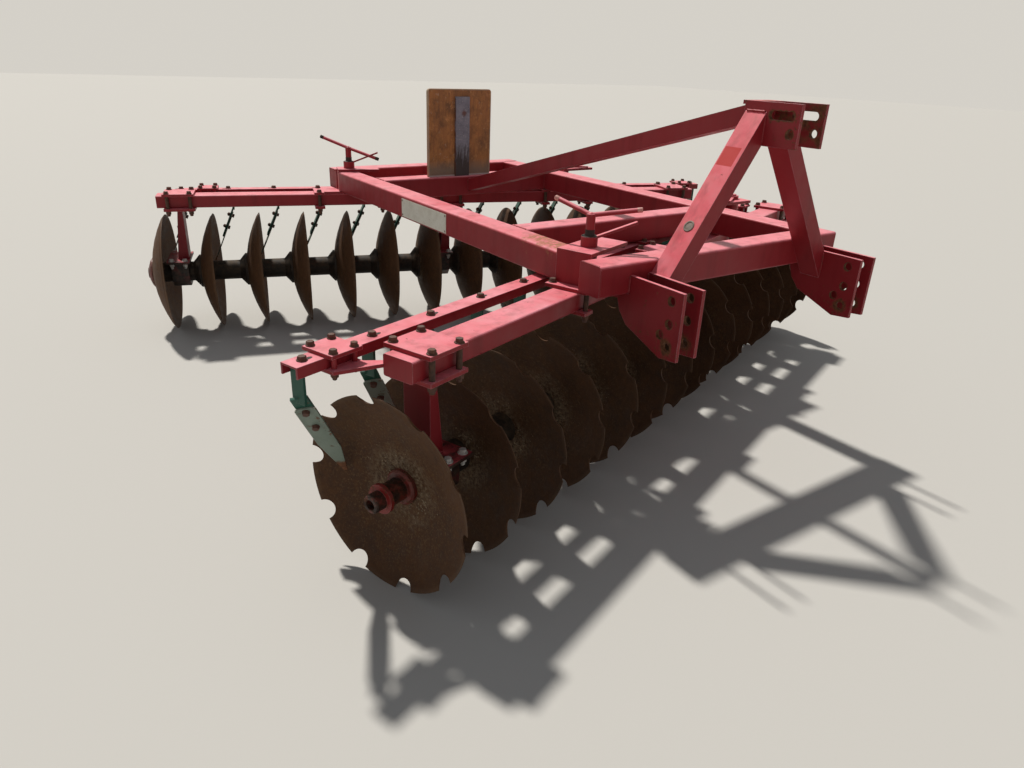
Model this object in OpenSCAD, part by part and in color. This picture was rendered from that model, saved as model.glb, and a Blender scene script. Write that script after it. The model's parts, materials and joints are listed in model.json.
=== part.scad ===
// Offset disc harrow with a three-point headstock
// +X is the machine's right, +Y is forward, the discs stand on Z = 0

/* [Discs] */
// Diameter of the notched front discs
front_disc_d = 580; // [560:2:600]
// Diameter of the plain rear discs
rear_disc_d = 590; // [580:2:610]
// Plate thickness of a disc
disc_t = 6; // [5:0.5:8]
// Depth of the dish from hub to rim
disc_dish = 75; // [68:1:88]
// Diameter of the flat centre of a disc
disc_flat_d = 176; // [174:1:190]
// Discs on each gang
disc_count = 14; // [14:1:14]
// Spacing of the discs along the axle
disc_gap = 230; // [228:1:236]
// Notches round each front disc
notch_count = 10; // [8:2:12]
// Radius of a notch
notch_r = 30; // [26:1:34]
// Depth of a notch
notch_depth = 30; // [20:1:32]

/* [Gangs] */
// Angle of the front gang
front_angle = 19.9; // [18:0.1:20]
// Angle of the rear gang
rear_angle = 17; // [15:0.1:17.5]
// Near disc hub of the front gang, to the right of the middle
front_hub_x = 1318; // [1290:1:1330]
// Near disc hub of the front gang, ahead of the front crossbeam
front_hub_y = 43; // [36:1:70]
// Near disc hub of the rear gang, to the right of the middle
rear_hub_x = 1505; // [1490:1:1520]
// Near disc hub of the rear gang, behind the front crossbeam
rear_hub_y = -2475; // [-2490:1:-2460]
// Width of the square gang axle
axle_w = 38; // [32:1:42]
// Diameter of the spool tube
spool_d = 100; // [90:1:102]
// Diameter of the spool bell
bell_d = 170; // [150:1:172]
// Length of the spool bell
bell_l = 40; // [30:1:42]
// Axle end past the hollow face of the end disc
end_out = 126; // [120:1:140]
// Axle length past the domed face of the end disc
end_back = 34; // [32:1:40]

/* [Gang frames] */
// Width of a gang beam
beam_w = 100; // [90:1:104]
// Height of a gang beam
beam_h = 60; // [50:1:62]
// Top of the gang beams above the ground
beam_top = 702; // [700:1:712]
// Front beam ahead of its axle
front_beam_y = 48; // [40:1:54]
// Rear beam ahead of its axle
rear_beam_y = 42; // [34:1:50]
// Thickness of the clamp plates
clamp_t = 12; // [10:1:14]
// Length of a hanger clamp along the beam
clamp_l = 145; // [130:1:150]
// Width of a clamp across the beam
clamp_w = 160; // [156:1:164]
// Diameter of the clamp bolts
clamp_bolt_d = 16; // [12:1:18]
// Width of the scraper bar
bar_w = 60; // [50:1:64]
// Depth of the scraper bar
bar_h = 30; // [26:1:34]
// Wall of the scraper bar
bar_t = 5; // [4:0.5:6]
// Scraper bar behind the beam, middle to middle
bar_back = 160; // [152:1:166]

/* [Hangers] */
// Post plate behind the disc hub
post_off = 62; // [58:1:66]
// Width of the post plate
post_w = 96; // [90:1:100]
// Bearing housing behind the disc hub
housing_off = 105; // [103:1:108]
// Length of the bearing housing along the axle
housing_l = 84; // [76:1:94]
// Width of the bearing housing
housing_w = 150; // [140:1:160]
// Height of the bearing housing
housing_h = 132; // [124:1:146]
// Running gap round the turning spool in its bearing
housing_fit = 0.4; // [0.3:0.1:0.8]

/* [Frame] */
// Frame tube width and height
tube_w = 100; // [96:1:104]
// Outer face of the right rail
right_face = 621; // [615:1:625]
// Outer face of the left rail
left_face = -561; // [-570:1:-555]
// Front face of the middle crossbeam
middle_y = -540; // [-560:1:-500]
// Front face of the board crossbeam
board_beam_y = -1763; // [-1790:1:-1740]
// Front face of the rear crossbeam
rear_beam_face_y = -2186; // [-2192:1:-2182]

/* [Hitch] */
// Middle of the hitch to the right of the frame's zero line
hitch_x = 10; // [0:1:20]
// Middle of a lower hitch fork from the middle of the hitch
fork_x = 445; // [440:1:450]
// Plate thickness of the forks and headstock
plate_t = 12; // [10:1:14]
// Outer width of a lower fork
fork_w = 91; // [86:1:96]
// Lower hitch hole diameter
lower_hole_d = 29; // [26:0.5:32]
// Top hitch hole diameter
top_hole_d = 26; // [22:0.5:28]
// Lowest hitch hole above the ground
lower_hole_z = 595; // [590:1:600]
// Mast height between the lowest hole and the top hole
mast_h = 607; // [600:1:620]
// Outer width of the headstock cheeks
cheek_w = 130; // [124:1:136]
// Headstock cheeks above the top hitch hole
cheek_above = 88; // [84:1:96]
// Depth of a headstock leg, front to back
leg_d = 80; // [70:1:84]
// Thickness of a headstock leg
leg_t = 58; // [50:1:62]
// Lean of a headstock leg from upright
leg_lean = 34.6; // [33.5:0.1:35]

/* [Board] */
// Width of the board
board_w = 368; // [340:1:420]
// Height of the board
board_h = 422; // [380:1:440]
// Thickness of the board
board_t = 18; // [15:1:21]

/* [Hidden] */
$fn = 48;
red = "firebrick";
front_r = front_disc_d / 2;
rear_r = rear_disc_d / 2;
span = (disc_count - 1) * disc_gap;
end_nut_r = 27;
clear_cut = 0.5;
bevel = 16;
rim_step = 2;
beam_bottom = beam_top - beam_h;
foot_top = beam_top + clamp_t;
frame_bottom = foot_top;
frame_top = frame_bottom + tube_w;
corner_r = 8;
hanger_after = [0, 6, 12];
front_beam_end = span - 90;
rear_beam_end = span - 65;
near_beam_end = 60;
flange_t = 12;
flange_l = 110;
flange_w = 230;
flange_z = housing_h / 2;
joint_in = 1;
gusset_low = 42;
gusset_high = 12;
front_arm_x = 240;
rear_arm_x = 184;
arm_w = 44;
arm_t = 8;
arm_bend_z = 605;
blade_t = 5;
tip_x = 45;
tip_y = 185;
tip_z = 295;
front_blade_yaw = 38;
rear_blade_yaw = 0;
blade_w = 54;
bar_past_arm = 20;

// Pivot pins inside the right rail's face and outside the left rail's face
front_pin_in = 109;
rear_pin_in = 74;
front_pin_out = 159;
rear_pin_out = 49;
pin_d = 30;
pin_fit = 0.5;
sleeve_d = 60;
jaw_t = 12;
jaw_in = 150;
front_jaw_w = 130;
rear_jaw_w = 110;
notch_turn = 12;
front_web = 93;
rear_web = 61;
left_jaw_out = 210;
foot_in = 185;
foot_out = 130;
rear_foot_out = 190;
strap_w = 50;
front_clamp_off = 45;
rear_clamp_off = 60;
mount_l = 100;
mount_side = 25;
plate_l = 400;
plate_ahead = 424;
board_x = 80;
post_x = 30;
post_w_board = 82;
post_below = 36;
board_gap = 19;
fork_y = 230;
hole_y = 184;
fork_above = 180;
rail_cut = 600;
cut_above = 100;
// Turn and rise of the two halves of each T handle, turn of each low pin's bar
front_tee = [-94, 14, 125, 8];
rear_tee = [-20, 20, 160, -18];
front_low_turn = 33;
rear_low_turn = 146;
// Extremes of the machine in plan, measured from the middle of the front crossbeam
x_right = front_hub_x + (front_arm_x + bar_past_arm) * cos(front_angle)
  + (bar_back + bar_w / 2 - front_beam_y) * sin(front_angle);
x_left = rear_hub_x - (span + rear_arm_x + bar_past_arm) * cos(rear_angle)
  + (rear_beam_y - bar_back - bar_w / 2) * sin(rear_angle);
y_front = front_hub_y + (disc_dish + disc_t / 2) * sin(front_angle) + front_r * cos(front_angle);
y_rear = rear_hub_y + (disc_dish + disc_t / 2 - rim_step) * sin(rear_angle)
  - rear_r * cos(rear_angle);
// Distance of each pivot pin along its gang from the near hub
pin_front_right_s = (front_hub_x - front_beam_y * sin(front_angle) - right_face + front_pin_in)
  / cos(front_angle);
pin_front_left_s = (front_hub_x - front_beam_y * sin(front_angle) - left_face + front_pin_out)
  / cos(front_angle);
pin_rear_right_s = (rear_hub_x + rear_beam_y * sin(rear_angle) - right_face + rear_pin_in)
  / cos(rear_angle);
pin_rear_left_s = (rear_hub_x + rear_beam_y * sin(rear_angle) - left_face + rear_pin_out)
  / cos(rear_angle);
mid_x = (x_right + x_left) / 2;
mid_y = (y_front + y_rear) / 2;

module place() { translate([-mid_x, -mid_y, 0]) children(); }
// Gang frame: X towards the right end, Y forward, origin over the near hub on the ground
module on_front() {
  translate([front_hub_x, front_hub_y, 0]) rotate([0, 0, front_angle]) children();
}
module on_rear() {
  translate([rear_hub_x, rear_hub_y, 0]) rotate([0, 0, -rear_angle]) children();
}
// The rear gang is the front gang's design turned end for end
module flip() { translate([-span, 0, 0]) mirror([1, 0, 0]) children(); }
module front_gang() { on_front() translate([0, 0, front_r]) children(); }
module rear_gang() { on_rear() flip() translate([0, 0, rear_r]) children(); }

// Tube with rounded corners along X, from x0 to x1
function round_box(w, h, r) = [
  for (q = [0:3]) for (k = [0:3])
    let (a = q * 90 + k * 30, sx = q == 0 || q == 3 ? 1 : -1, sy = q < 2 ? 1 : -1)
      [sx * (w / 2 - r) + r * cos(a), sy * (h / 2 - r) + r * sin(a)]];
module tube_x(x0, x1, w, h, r = corner_r) {
  translate([x0, 0, 0]) rotate([90, 0, 90]) linear_extrude(x1 - x0) polygon(round_box(w, h, r));
}
module block(x0, x1, y0, y1, z0, z1) {
  translate([x0, y0, z0]) cube([x1 - x0, y1 - y0, z1 - z0]);
}
module rod(x, y, z0, z1, d) { translate([x, y, z0]) cylinder(h = z1 - z0, d = d); }

// Discs and axle
function dish_at(r, rim) = disc_dish * (r * r - pow(disc_flat_d / 2, 2))
  / (rim * rim - pow(disc_flat_d / 2, 2));
module dish(rim) {
  steps = [for (k = [0:4]) disc_flat_d / 2 + (rim - bevel - disc_flat_d / 2) * k / 4];
  rotate([0, 90, 0]) rotate_extrude($fn = 96) polygon(concat(
    [[0, -disc_t / 2]], [for (r = steps) [r, dish_at(r, rim) - disc_t / 2]],
    [[rim, disc_dish + disc_t / 2 - rim_step], [rim, disc_dish + disc_t / 2]],
    [for (k = [4:-1:0]) [steps[k], dish_at(steps[k], rim) + disc_t / 2]], [[0, disc_t / 2]]));
}
module notches(rim, turn) {
  for (k = [0:notch_count - 1]) rotate([turn + k * 360 / notch_count, 0, 0])
    translate([0, 0, rim - notch_depth + notch_r]) rotate([0, 90, 0])
      cylinder(h = disc_dish + 30, r = notch_r);
}
module disc_row(rim, notched) {
  for (k = [0:disc_count - 1]) translate([-k * disc_gap, 0, 0]) difference() {
    dish(rim);
    block(-disc_t, disc_t, -axle_w / 2 - clear_cut, axle_w / 2 + clear_cut,
      -axle_w / 2 - clear_cut, axle_w / 2 + clear_cut);
    if (notched) notches(rim, notch_turn + (k % 2) * 180 / notch_count);
  }
}
module spool_row() {
  spool_l = disc_gap - disc_t;
  for (k = [0:disc_count - 2]) translate([-k * disc_gap - disc_t / 2, 0, 0]) difference() {
    rotate([0, -90, 0]) rotate_extrude($fn = 64) polygon([[0, 0], [bell_d / 2, 0],
      [bell_d / 2, 10], [spool_d / 2, bell_l], [spool_d / 2, spool_l], [0, spool_l]]);
    block(-spool_l - 1, 1, -axle_w / 2 - clear_cut, axle_w / 2 + clear_cut,
      -axle_w / 2 - clear_cut, axle_w / 2 + clear_cut);
  }
}
module axle() {
  collar_l = 18;
  spacer_l = 60;
  ring_l = 12;
  block(-span - 20, collar_l, -axle_w / 2, axle_w / 2, -axle_w / 2, axle_w / 2);
  // hollow side of the end disc: collar, spacer, ring and round nut with a hollow end
  translate([disc_t / 2, 0, 0]) rotate([0, 90, 0]) rotate_extrude() polygon([[0, 0], [52, 0],
    [52, collar_l - 6], [46, collar_l], [34, collar_l], [34, collar_l + spacer_l],
    [43, collar_l + spacer_l], [43, collar_l + spacer_l + ring_l],
    [end_nut_r, collar_l + spacer_l + ring_l], [end_nut_r, end_out - 5], [end_nut_r - 3, end_out],
    [15, end_out],
    [15, end_out - 18], [0, end_out - 18]]);
  // domed side of the end disc: bumper washer and round nut
  translate([-span - disc_t / 2, 0, 0]) rotate([0, -90, 0]) rotate_extrude() polygon([[0, 0],
    [76, 0], [76, 7], [64, 16], [44, 24], [30, 27], [end_nut_r, 27],
    [end_nut_r, end_back - disc_t / 2], [0, end_back - disc_t / 2]]);
}
module front_discs() { color("sienna") front_gang() disc_row(front_r, true); }
module rear_discs() { color("sienna") rear_gang() disc_row(rear_r, false); }
module front_spools() { color("dimgray") front_gang() spool_row(); }
module rear_spools() { color("dimgray") rear_gang() spool_row(); }
module front_axle() { color("saddlebrown") front_gang() axle(); }
module rear_axle() { color("saddlebrown") rear_gang() axle(); }

// Hanger: post plate, tapered gussets, foot flange and bearing housing
module hanger(axle_z) {
  post_top = beam_bottom - clamp_t - axle_z;
  foot_z = flange_z + flange_t - joint_in;
  block(-post_off - 6, -post_off + 6, -post_w / 2, post_w / 2, foot_z, post_top);
  for (s = [-1, 1]) translate([-post_off - 5, s * (post_w / 2 - 6) + 6, 0]) rotate([90, 0, 0])
    linear_extrude(12) polygon([[0, foot_z], [-gusset_low, foot_z], [-gusset_high, post_top],
      [0, post_top]]);
  block(-housing_off - flange_l / 2, -housing_off + flange_l / 2, -flange_w / 2, flange_w / 2,
    flange_z, flange_z + flange_t);
  difference() {
    translate([-housing_off - housing_l / 2, 0, 0]) rotate([90, 0, 90]) linear_extrude(housing_l)
      polygon([[-housing_w / 2, housing_h / 2 + joint_in], [-housing_w / 2, -housing_h / 4],
        [-housing_w / 4, -housing_h / 2], [housing_w / 4, -housing_h / 2],
        [housing_w / 2, -housing_h / 4], [housing_w / 2, housing_h / 2 + joint_in]]);
    translate([-housing_off - housing_l, 0, 0]) rotate([0, 90, 0])
      cylinder(h = 2 * housing_l, d = spool_d + 2 * housing_fit);
  }
}
module hanger_front(i) {
  color(red) front_gang() translate([-hanger_after[i] * disc_gap, 0, 0]) hanger(front_r);
}
module hanger_rear(i) {
  color(red) rear_gang() translate([-hanger_after[i] * disc_gap, 0, 0]) hanger(rear_r);
}

// Gang beams, clamps and scraper gear, in the gang frame with Z from the ground
module gang_beam(far_end) {
  translate([0, 0, beam_top - beam_h / 2]) tube_x(-far_end, near_beam_end, beam_w, beam_h, 6);
}
module clamp_pair(x0, x1, bolts) {
  block(x0, x1, -clamp_w / 2, clamp_w / 2, beam_top, beam_top + clamp_t);
  block(x0, x1, -clamp_w / 2, clamp_w / 2, beam_bottom - clamp_t, beam_bottom);
  for (x = bolts) for (y = [-1, 1])
    rod(x, y * (clamp_w / 2 - 14), beam_bottom - joint_in, beam_top + joint_in, clamp_bolt_d);
}
module hanger_clamps(clamp_off) {
  bolt_x = clamp_l / 2 - 20;
  for (k = hanger_after) translate([-k * disc_gap - clamp_off, 0, 0])
    clamp_pair(-clamp_l / 2, clamp_l / 2, [-bolt_x, bolt_x]);
}
// Pivot foot: plate on the beam with a bolted strap at each end
module foot(inner, outer, w) {
  block(-inner, outer, -w / 2, w / 2, beam_top, foot_top);
  clamp_pair(-inner, -inner + strap_w, [-inner + strap_w / 2]);
  clamp_pair(outer - strap_w, outer, [outer - strap_w / 2]);
}
module scraper_bar(arm_x) {
  far = -span + arm_x - 40;
  bar_l = arm_x + bar_past_arm - far;
  translate([far, -bar_back, beam_top]) rotate([90, 0, 90]) linear_extrude(bar_l)
    polygon([[-bar_w / 2, 0], [-bar_w / 2, -bar_h], [-bar_w / 2 + bar_t, -bar_h],
      [-bar_w / 2 + bar_t, -bar_t], [bar_w / 2 - bar_t, -bar_t], [bar_w / 2 - bar_t, -bar_h],
      [bar_w / 2, -bar_h], [bar_w / 2, 0]]);
}
module bar_mount(x, toe0, toe1) {
  mount_w = bar_w + 2 * mount_side;
  plate = clamp_t - 2;
  y0 = -bar_back - mount_w / 2;
  y1 = -bar_back + mount_w / 2;
  bar_bottom = beam_top - bar_h;
  block(x - mount_l / 2, x + mount_l / 2, y0, y1, beam_top, beam_top + plate);
  translate([0, 0, bar_bottom - plate]) linear_extrude(plate) polygon([
    [x - mount_l / 2, y0], [x + mount_l / 2, y0], [x + mount_l / 2, y1],
    [toe1, -beam_w / 2], [toe0, -beam_w / 2], [x - mount_l / 2, y1]]);
  for (sx = [-1, 1]) for (sy = [-1, 1])
    rod(x + sx * (mount_l / 2 - 16), -bar_back + sy * (mount_w / 2 - 13),
      bar_bottom - joint_in, beam_top + joint_in, 14);
}
module bar_mounts(arm_x, clamp_off) {
  // near mount beside the first clamp, the others clear of the clamp bolts and the arms
  bolt_edge = clamp_l / 2 - clamp_off - 20 + clamp_bolt_d / 2;
  bar_mount(arm_x / 2 + 5, bolt_edge + 7, near_beam_end - 4);
  middle = -7 * disc_gap + arm_x / 4 + 6;
  bar_mount(middle, middle - mount_l / 2, middle + mount_l / 2);
  far = -12 * disc_gap + 65;
  bar_mount(far, far - mount_l / 2 + 6, far + mount_l / 2);
}
// Scraper: arm hung from the bar, then slanted down to the hollow face of its disc
function slant(arm_x) = atan2(arm_x - tip_x, arm_bend_z - tip_z);
function run(arm_x) = norm([arm_x - tip_x, arm_bend_z - tip_z]);
module on_blade(arm_x, beam_y, yaw) {
  translate([tip_x, -tip_y, tip_z]) rotate([0, slant(arm_x), 0])
    rotate([-atan2(tip_y - bar_back + beam_y, run(arm_x)), 0, 0]) rotate([0, 0, yaw]) children();
}
module arm_row(arm_x, beam_y, yaw) {
  bar_inside = beam_top - bar_t;
  for (k = [0:disc_count - 1]) translate([-k * disc_gap, beam_y - bar_back, 0]) {
    block(arm_x - arm_t, arm_x, -arm_w / 2, arm_w / 2, arm_bend_z - 12, bar_inside);
    block(arm_x - 44, arm_x, -arm_w / 2, arm_w / 2, bar_inside - arm_t, bar_inside);
  }
  for (k = [0:disc_count - 1]) translate([-k * disc_gap, 0, 0]) on_blade(arm_x, beam_y, yaw)
    block(-arm_t, 0, -arm_w / 2, arm_w / 2, run(arm_x) / 2, run(arm_x) + 8);
}
module blade_row(arm_x, beam_y, yaw) {
  top = run(arm_x) - 30;
  for (k = [0:disc_count - 1]) translate([-k * disc_gap, 0, 0]) on_blade(arm_x, beam_y, yaw)
    rotate([90, 0, 90]) linear_extrude(blade_t) polygon([[-5, 0], [5, 0], [blade_w / 2, 130],
      [blade_w / 2, top - 8], [blade_w / 2 - 8, top], [8 - blade_w / 2, top],
      [-blade_w / 2, top - 8], [-blade_w / 2, 160]]);
}
module lift_front() { on_front() translate([0, front_beam_y, 0]) children(); }
module lift_rear() { on_rear() flip() translate([0, rear_beam_y, 0]) children(); }
module front_beam() { color(red) lift_front() gang_beam(front_beam_end); }
module rear_beam() { color(red) lift_rear() gang_beam(rear_beam_end); }
module front_clamps() { color(red) lift_front() hanger_clamps(front_clamp_off); }
module rear_clamps() { color(red) lift_rear() hanger_clamps(rear_clamp_off); }
module front_feet() {
  color(red) lift_front() {
    translate([-pin_front_right_s, 0, 0]) foot(foot_in, foot_out, front_jaw_w);
    translate([-pin_front_left_s, 0, 0]) foot(foot_in - 20, foot_out + 20, front_jaw_w);
  }
}
module rear_feet() {
  color(red) on_rear() translate([0, rear_beam_y, 0]) {
    translate([-pin_rear_right_s, 0, 0]) foot(foot_in, rear_foot_out, rear_jaw_w);
    translate([-pin_rear_left_s, 0, 0]) foot(foot_in - 20, foot_out + 20, rear_jaw_w);
  }
}
module front_scraper_bar() { color(red) lift_front() scraper_bar(front_arm_x); }
module rear_scraper_bar() { color(red) lift_rear() scraper_bar(rear_arm_x); }
module front_bar_mounts() { color(red) lift_front() bar_mounts(front_arm_x, front_clamp_off); }
module rear_bar_mounts() { color(red) lift_rear() bar_mounts(rear_arm_x, rear_clamp_off); }
module front_scraper_arms() {
  color("darkgreen") on_front() arm_row(front_arm_x, front_beam_y, front_blade_yaw);
}
module rear_scraper_arms() {
  color("darkgreen") on_rear() flip() arm_row(rear_arm_x, rear_beam_y, rear_blade_yaw);
}
module front_scraper_blades() {
  color("silver") on_front() blade_row(front_arm_x, front_beam_y, front_blade_yaw);
}
module rear_scraper_blades() {
  color("silver") on_rear() flip() blade_row(rear_arm_x, rear_beam_y, rear_blade_yaw);
}

// Pivot jaw: bent plate round the pivot sleeve, web on one side
module jaw(inner, web, w) {
  translate([0, w / 2, 0]) rotate([90, 0, 0]) linear_extrude(w) polygon([
    [-inner, foot_top], [web, foot_top], [web, frame_top + jaw_t], [-inner, frame_top + jaw_t],
    [-inner, frame_top], [web - jaw_t, frame_top], [web - jaw_t, foot_top + jaw_t],
    [-inner, foot_top + jaw_t]]);
  rod(0, 0, foot_top + jaw_t, frame_top, sleeve_d);
}
module pin_hole() { rod(0, 0, foot_top - 1, frame_top + jaw_t + 1, pin_d + 2 * pin_fit); }
module at_front_right() { on_front() translate([-pin_front_right_s, front_beam_y, 0]) children(); }
module at_rear_right() { on_rear() translate([-pin_rear_right_s, rear_beam_y, 0]) children(); }
module pivot_front_right() {
  color(red) difference() {
    at_front_right() difference() { jaw(jaw_in, front_web, front_jaw_w); pin_hole(); }
    front_tube_cut();
  }
}
module pivot_rear_right() {
  color(red) difference() {
    at_rear_right() difference() { jaw(jaw_in, rear_web, rear_jaw_w); pin_hole(); }
    rear_tube_cut();
  }
}
// Left jaws stand square against the left rail and open outwards
module left_jaw(x, y) {
  reach = x - left_face + left_jaw_out;
  translate([x, y, 0]) difference() {
    jaw(reach, left_face - x, front_jaw_w);
    pin_hole();
  }
}
front_left_x = front_hub_x - pin_front_left_s * cos(front_angle) - front_beam_y * sin(front_angle);
front_left_y = front_hub_y - pin_front_left_s * sin(front_angle) + front_beam_y * cos(front_angle);
rear_left_x = rear_hub_x - pin_rear_left_s * cos(rear_angle) + rear_beam_y * sin(rear_angle);
rear_left_y = rear_hub_y + pin_rear_left_s * sin(rear_angle) + rear_beam_y * cos(rear_angle);
module pivot_front_left() { color(red) left_jaw(front_left_x, front_left_y); }
module pivot_rear_left() { color(red) left_jaw(rear_left_x, rear_left_y); }

// T-handled pin: shank, collar, lock bar and a bent handle
module arm_bar(turn, rise, length, d) {
  rotate([0, 0, turn]) rotate([0, 90 - rise, 0]) cylinder(h = length, d = d);
}
module tee_pin(tee) {
  base = frame_top + jaw_t;
  rod(0, 0, foot_top, base + 106, pin_d);
  rod(0, 0, base, base + 34, 56);
  translate([0, 0, base + 102]) {
    arm_bar(tee[0], tee[1], 150, 16);
    arm_bar(tee[2], tee[3], 165, 16);
    sphere(d = 20);
  }
  translate([0, 0, base + 22]) rotate([0, 0, tee[2]]) rotate([0, -22, 0])
    block(20, 165, -9, 9, -4, 4);
}
// Low pin of the left pivots, with a flat bar over the jaw
module low_pin(turn) {
  base = frame_top + jaw_t;
  rod(0, 0, foot_top, base + 22, pin_d);
  rod(0, 0, base, base + 16, 52);
  translate([0, 0, base + 7]) rotate([0, 0, turn]) block(20, 140, -9, 9, -4, 4);
}
module pin_front_right() { color(red) at_front_right() tee_pin(front_tee); }
module pin_front_left() { color(red) translate([front_left_x, front_left_y, 0]) low_pin(front_low_turn); }
module pin_rear_right() { color(red) at_rear_right() tee_pin(rear_tee); }
module pin_rear_left() { color(red) translate([rear_left_x, rear_left_y, 0]) low_pin(rear_low_turn); }

// Frame tubes
module tube_along_y(x_mid, y0, y1) {
  translate([x_mid, y1, frame_top - tube_w / 2]) rotate([0, 0, -90])
    tube_x(0, y1 - y0, tube_w, tube_w);
}
module tube_along_x(x0, x1, y_front) {
  translate([0, y_front - tube_w / 2, frame_top - tube_w / 2]) tube_x(x0, x1, tube_w, tube_w);
}
module front_tube_cut() { block(left_face - 10, right_face + 5, -tube_w, 0, 0, frame_top); }
module rear_tube_cut() {
  block(left_face, right_face - 20, rear_beam_face_y - tube_w, rear_beam_face_y, 0, frame_top);
}
module rail_right() {
  color(red) difference() {
    tube_along_y(right_face - tube_w / 2, rear_beam_face_y - 60, -tube_w);
    at_front_right()
      block(-rail_cut, rail_cut, -front_jaw_w / 2, rail_cut, 0, frame_top + cut_above);
    at_rear_right()
      block(-rail_cut, rail_cut, -rail_cut, rear_jaw_w / 2, 0, frame_top + cut_above);
  }
}
module rail_left() {
  color(red) tube_along_y(left_face + tube_w / 2, rear_beam_face_y, -tube_w);
}
module crossbeam_front() { color(red) tube_along_x(left_face - 10, right_face + 5, 0); }
module crossbeam_middle() {
  color(red) tube_along_x(left_face + tube_w, right_face - tube_w, middle_y);
}
module crossbeam_board() {
  color(red) tube_along_x(left_face + tube_w, right_face - tube_w, board_beam_y);
}
module crossbeam_rear() {
  color(red) tube_along_x(left_face, right_face - 20, rear_beam_face_y);
}

// Headstock
top_hole_z = lower_hole_z + mast_h;
cheek_top = top_hole_z + cheek_above;
cheek_front = 205;
cheek_back = -6;
cheek_low = 42;
slot_front = 171;
slot_back = 105;
slot_up = 51;
leg_x_end = fork_x - fork_w / 2;
leg_top = cheek_top - 30;
module leg() {
  x0 = cheek_w / 2;
  drop = 1 / tan(leg_lean);
  z_outer = leg_top - (leg_x_end - x0) * drop;
  z_inner = z_outer - leg_t / sin(leg_lean);
  translate([0, leg_d, 0]) rotate([90, 0, 0]) linear_extrude(leg_d) polygon([[x0, leg_top],
    [leg_x_end, z_outer], [leg_x_end, z_inner], [x0, z_inner + (leg_x_end - x0) * drop]]);
}
module at_hitch() { translate([hitch_x, 0, 0]) children(); }
module headstock_leg_right() { color(red) at_hitch() leg(); }
module headstock_leg_left() { color(red) at_hitch() mirror([1, 0, 0]) leg(); }
module headstock_cheeks() {
  color(red) at_hitch() difference() {
    union() {
      for (s = [-1, 1]) translate([s * (cheek_w - plate_t) / 2 - plate_t / 2, 0, 0])
        block(0, plate_t, cheek_back, cheek_front, top_hole_z - cheek_low, cheek_top);
      block(-cheek_w / 2 + joint_in, cheek_w / 2 - joint_in, cheek_back - 10, 54,
        cheek_top - plate_t, cheek_top);
    }
    translate([-cheek_w, slot_front + 5, top_hole_z]) rotate([0, 90, 0])
      cylinder(h = 2 * cheek_w, d = top_hole_d);
    translate([-cheek_w, 0, top_hole_z + slot_up]) rotate([0, 90, 0]) {
      translate([0, slot_back, 0]) cylinder(h = 2 * cheek_w, d = top_hole_d);
      translate([0, slot_front, 0]) cylinder(h = 2 * cheek_w, d = top_hole_d);
      translate([-top_hole_d / 2, slot_back, 0])
        cube([top_hole_d, slot_front - slot_back, 2 * cheek_w]);
    }
  }
}
module headstock_stay() {
  stay_w = 60;
  stay_h = 62;
  top = cheek_top - plate_t;
  back_low = frame_bottom + 22;
  color(red) at_hitch() translate([-stay_w / 2, 0, 0]) rotate([90, 0, 90]) linear_extrude(stay_w)
    polygon([[board_beam_y, back_low], [40, top - 45], [40, top], [-16, top],
      [board_beam_y, back_low + stay_h]]);
}

// Lower hitch forks
module fork() {
  z0 = lower_hole_z;
  for (s = [-1, 1]) translate([s * (fork_w - plate_t) / 2 - plate_t / 2, 0, 0]) difference() {
    rotate([90, 0, 90]) linear_extrude(plate_t) polygon([[0, z0 + fork_above],
      [fork_y, z0 + fork_above], [fork_y, z0 - 35], [160, z0 - 43], [0, z0 + 17], [-35, z0 + 55],
      [-60, frame_bottom], [0, frame_bottom]]);
    for (p = [[hole_y, 0], [hole_y, 73], [hole_y, 146], [hole_y - 32, 32]])
      translate([-1, p[0], z0 + p[1]]) rotate([0, 90, 0]) cylinder(h = plate_t + 2, d = lower_hole_d);
  }
}
module hitch_fork_right() { color(red) translate([hitch_x + fork_x, 0, 0]) fork(); }
module hitch_fork_left() { color(red) translate([hitch_x - fork_x, 0, 0]) fork(); }

// Board, its post and the blank name plate
module board() {
  color("peru") block(board_x - board_w / 2, board_x + board_w / 2,
    board_beam_y - board_gap - board_t, board_beam_y - board_gap, frame_top, frame_top + board_h);
}
module board_post() {
  color("gray") block(post_x, post_x + post_w_board, board_beam_y - board_gap,
    board_beam_y - board_gap + 10, frame_top, frame_top + board_h - post_below);
}
module name_plate() {
  color("lightgray") block(right_face, right_face + 1.5, middle_y - plate_ahead - plate_l,
    middle_y - plate_ahead, frame_bottom + 8, frame_top - 14);
}

place() rail_right();
place() rail_left();
place() crossbeam_front();
place() crossbeam_middle();
place() crossbeam_board();
place() crossbeam_rear();
place() headstock_leg_right();
place() headstock_leg_left();
place() headstock_cheeks();
place() headstock_stay();
place() hitch_fork_right();
place() hitch_fork_left();
place() pivot_front_right();
place() pivot_front_left();
place() pivot_rear_right();
place() pivot_rear_left();
place() pin_front_right();
place() pin_front_left();
place() pin_rear_right();
place() pin_rear_left();
place() front_beam();
place() rear_beam();
place() front_clamps();
place() rear_clamps();
place() front_feet();
place() rear_feet();
place() hanger_front(0);  // front_hanger_1
place() hanger_front(1);  // front_hanger_2
place() hanger_front(2);  // front_hanger_3
place() hanger_rear(0);  // rear_hanger_1
place() hanger_rear(1);  // rear_hanger_2
place() hanger_rear(2);  // rear_hanger_3
place() front_scraper_bar();
place() rear_scraper_bar();
place() front_bar_mounts();
place() rear_bar_mounts();
place() front_scraper_arms();
place() rear_scraper_arms();
place() front_scraper_blades();
place() rear_scraper_blades();
place() board();
place() board_post();
place() name_plate();
place() front_discs();
place() front_spools();
place() front_axle();
place() rear_discs();
place() rear_spools();
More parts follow.
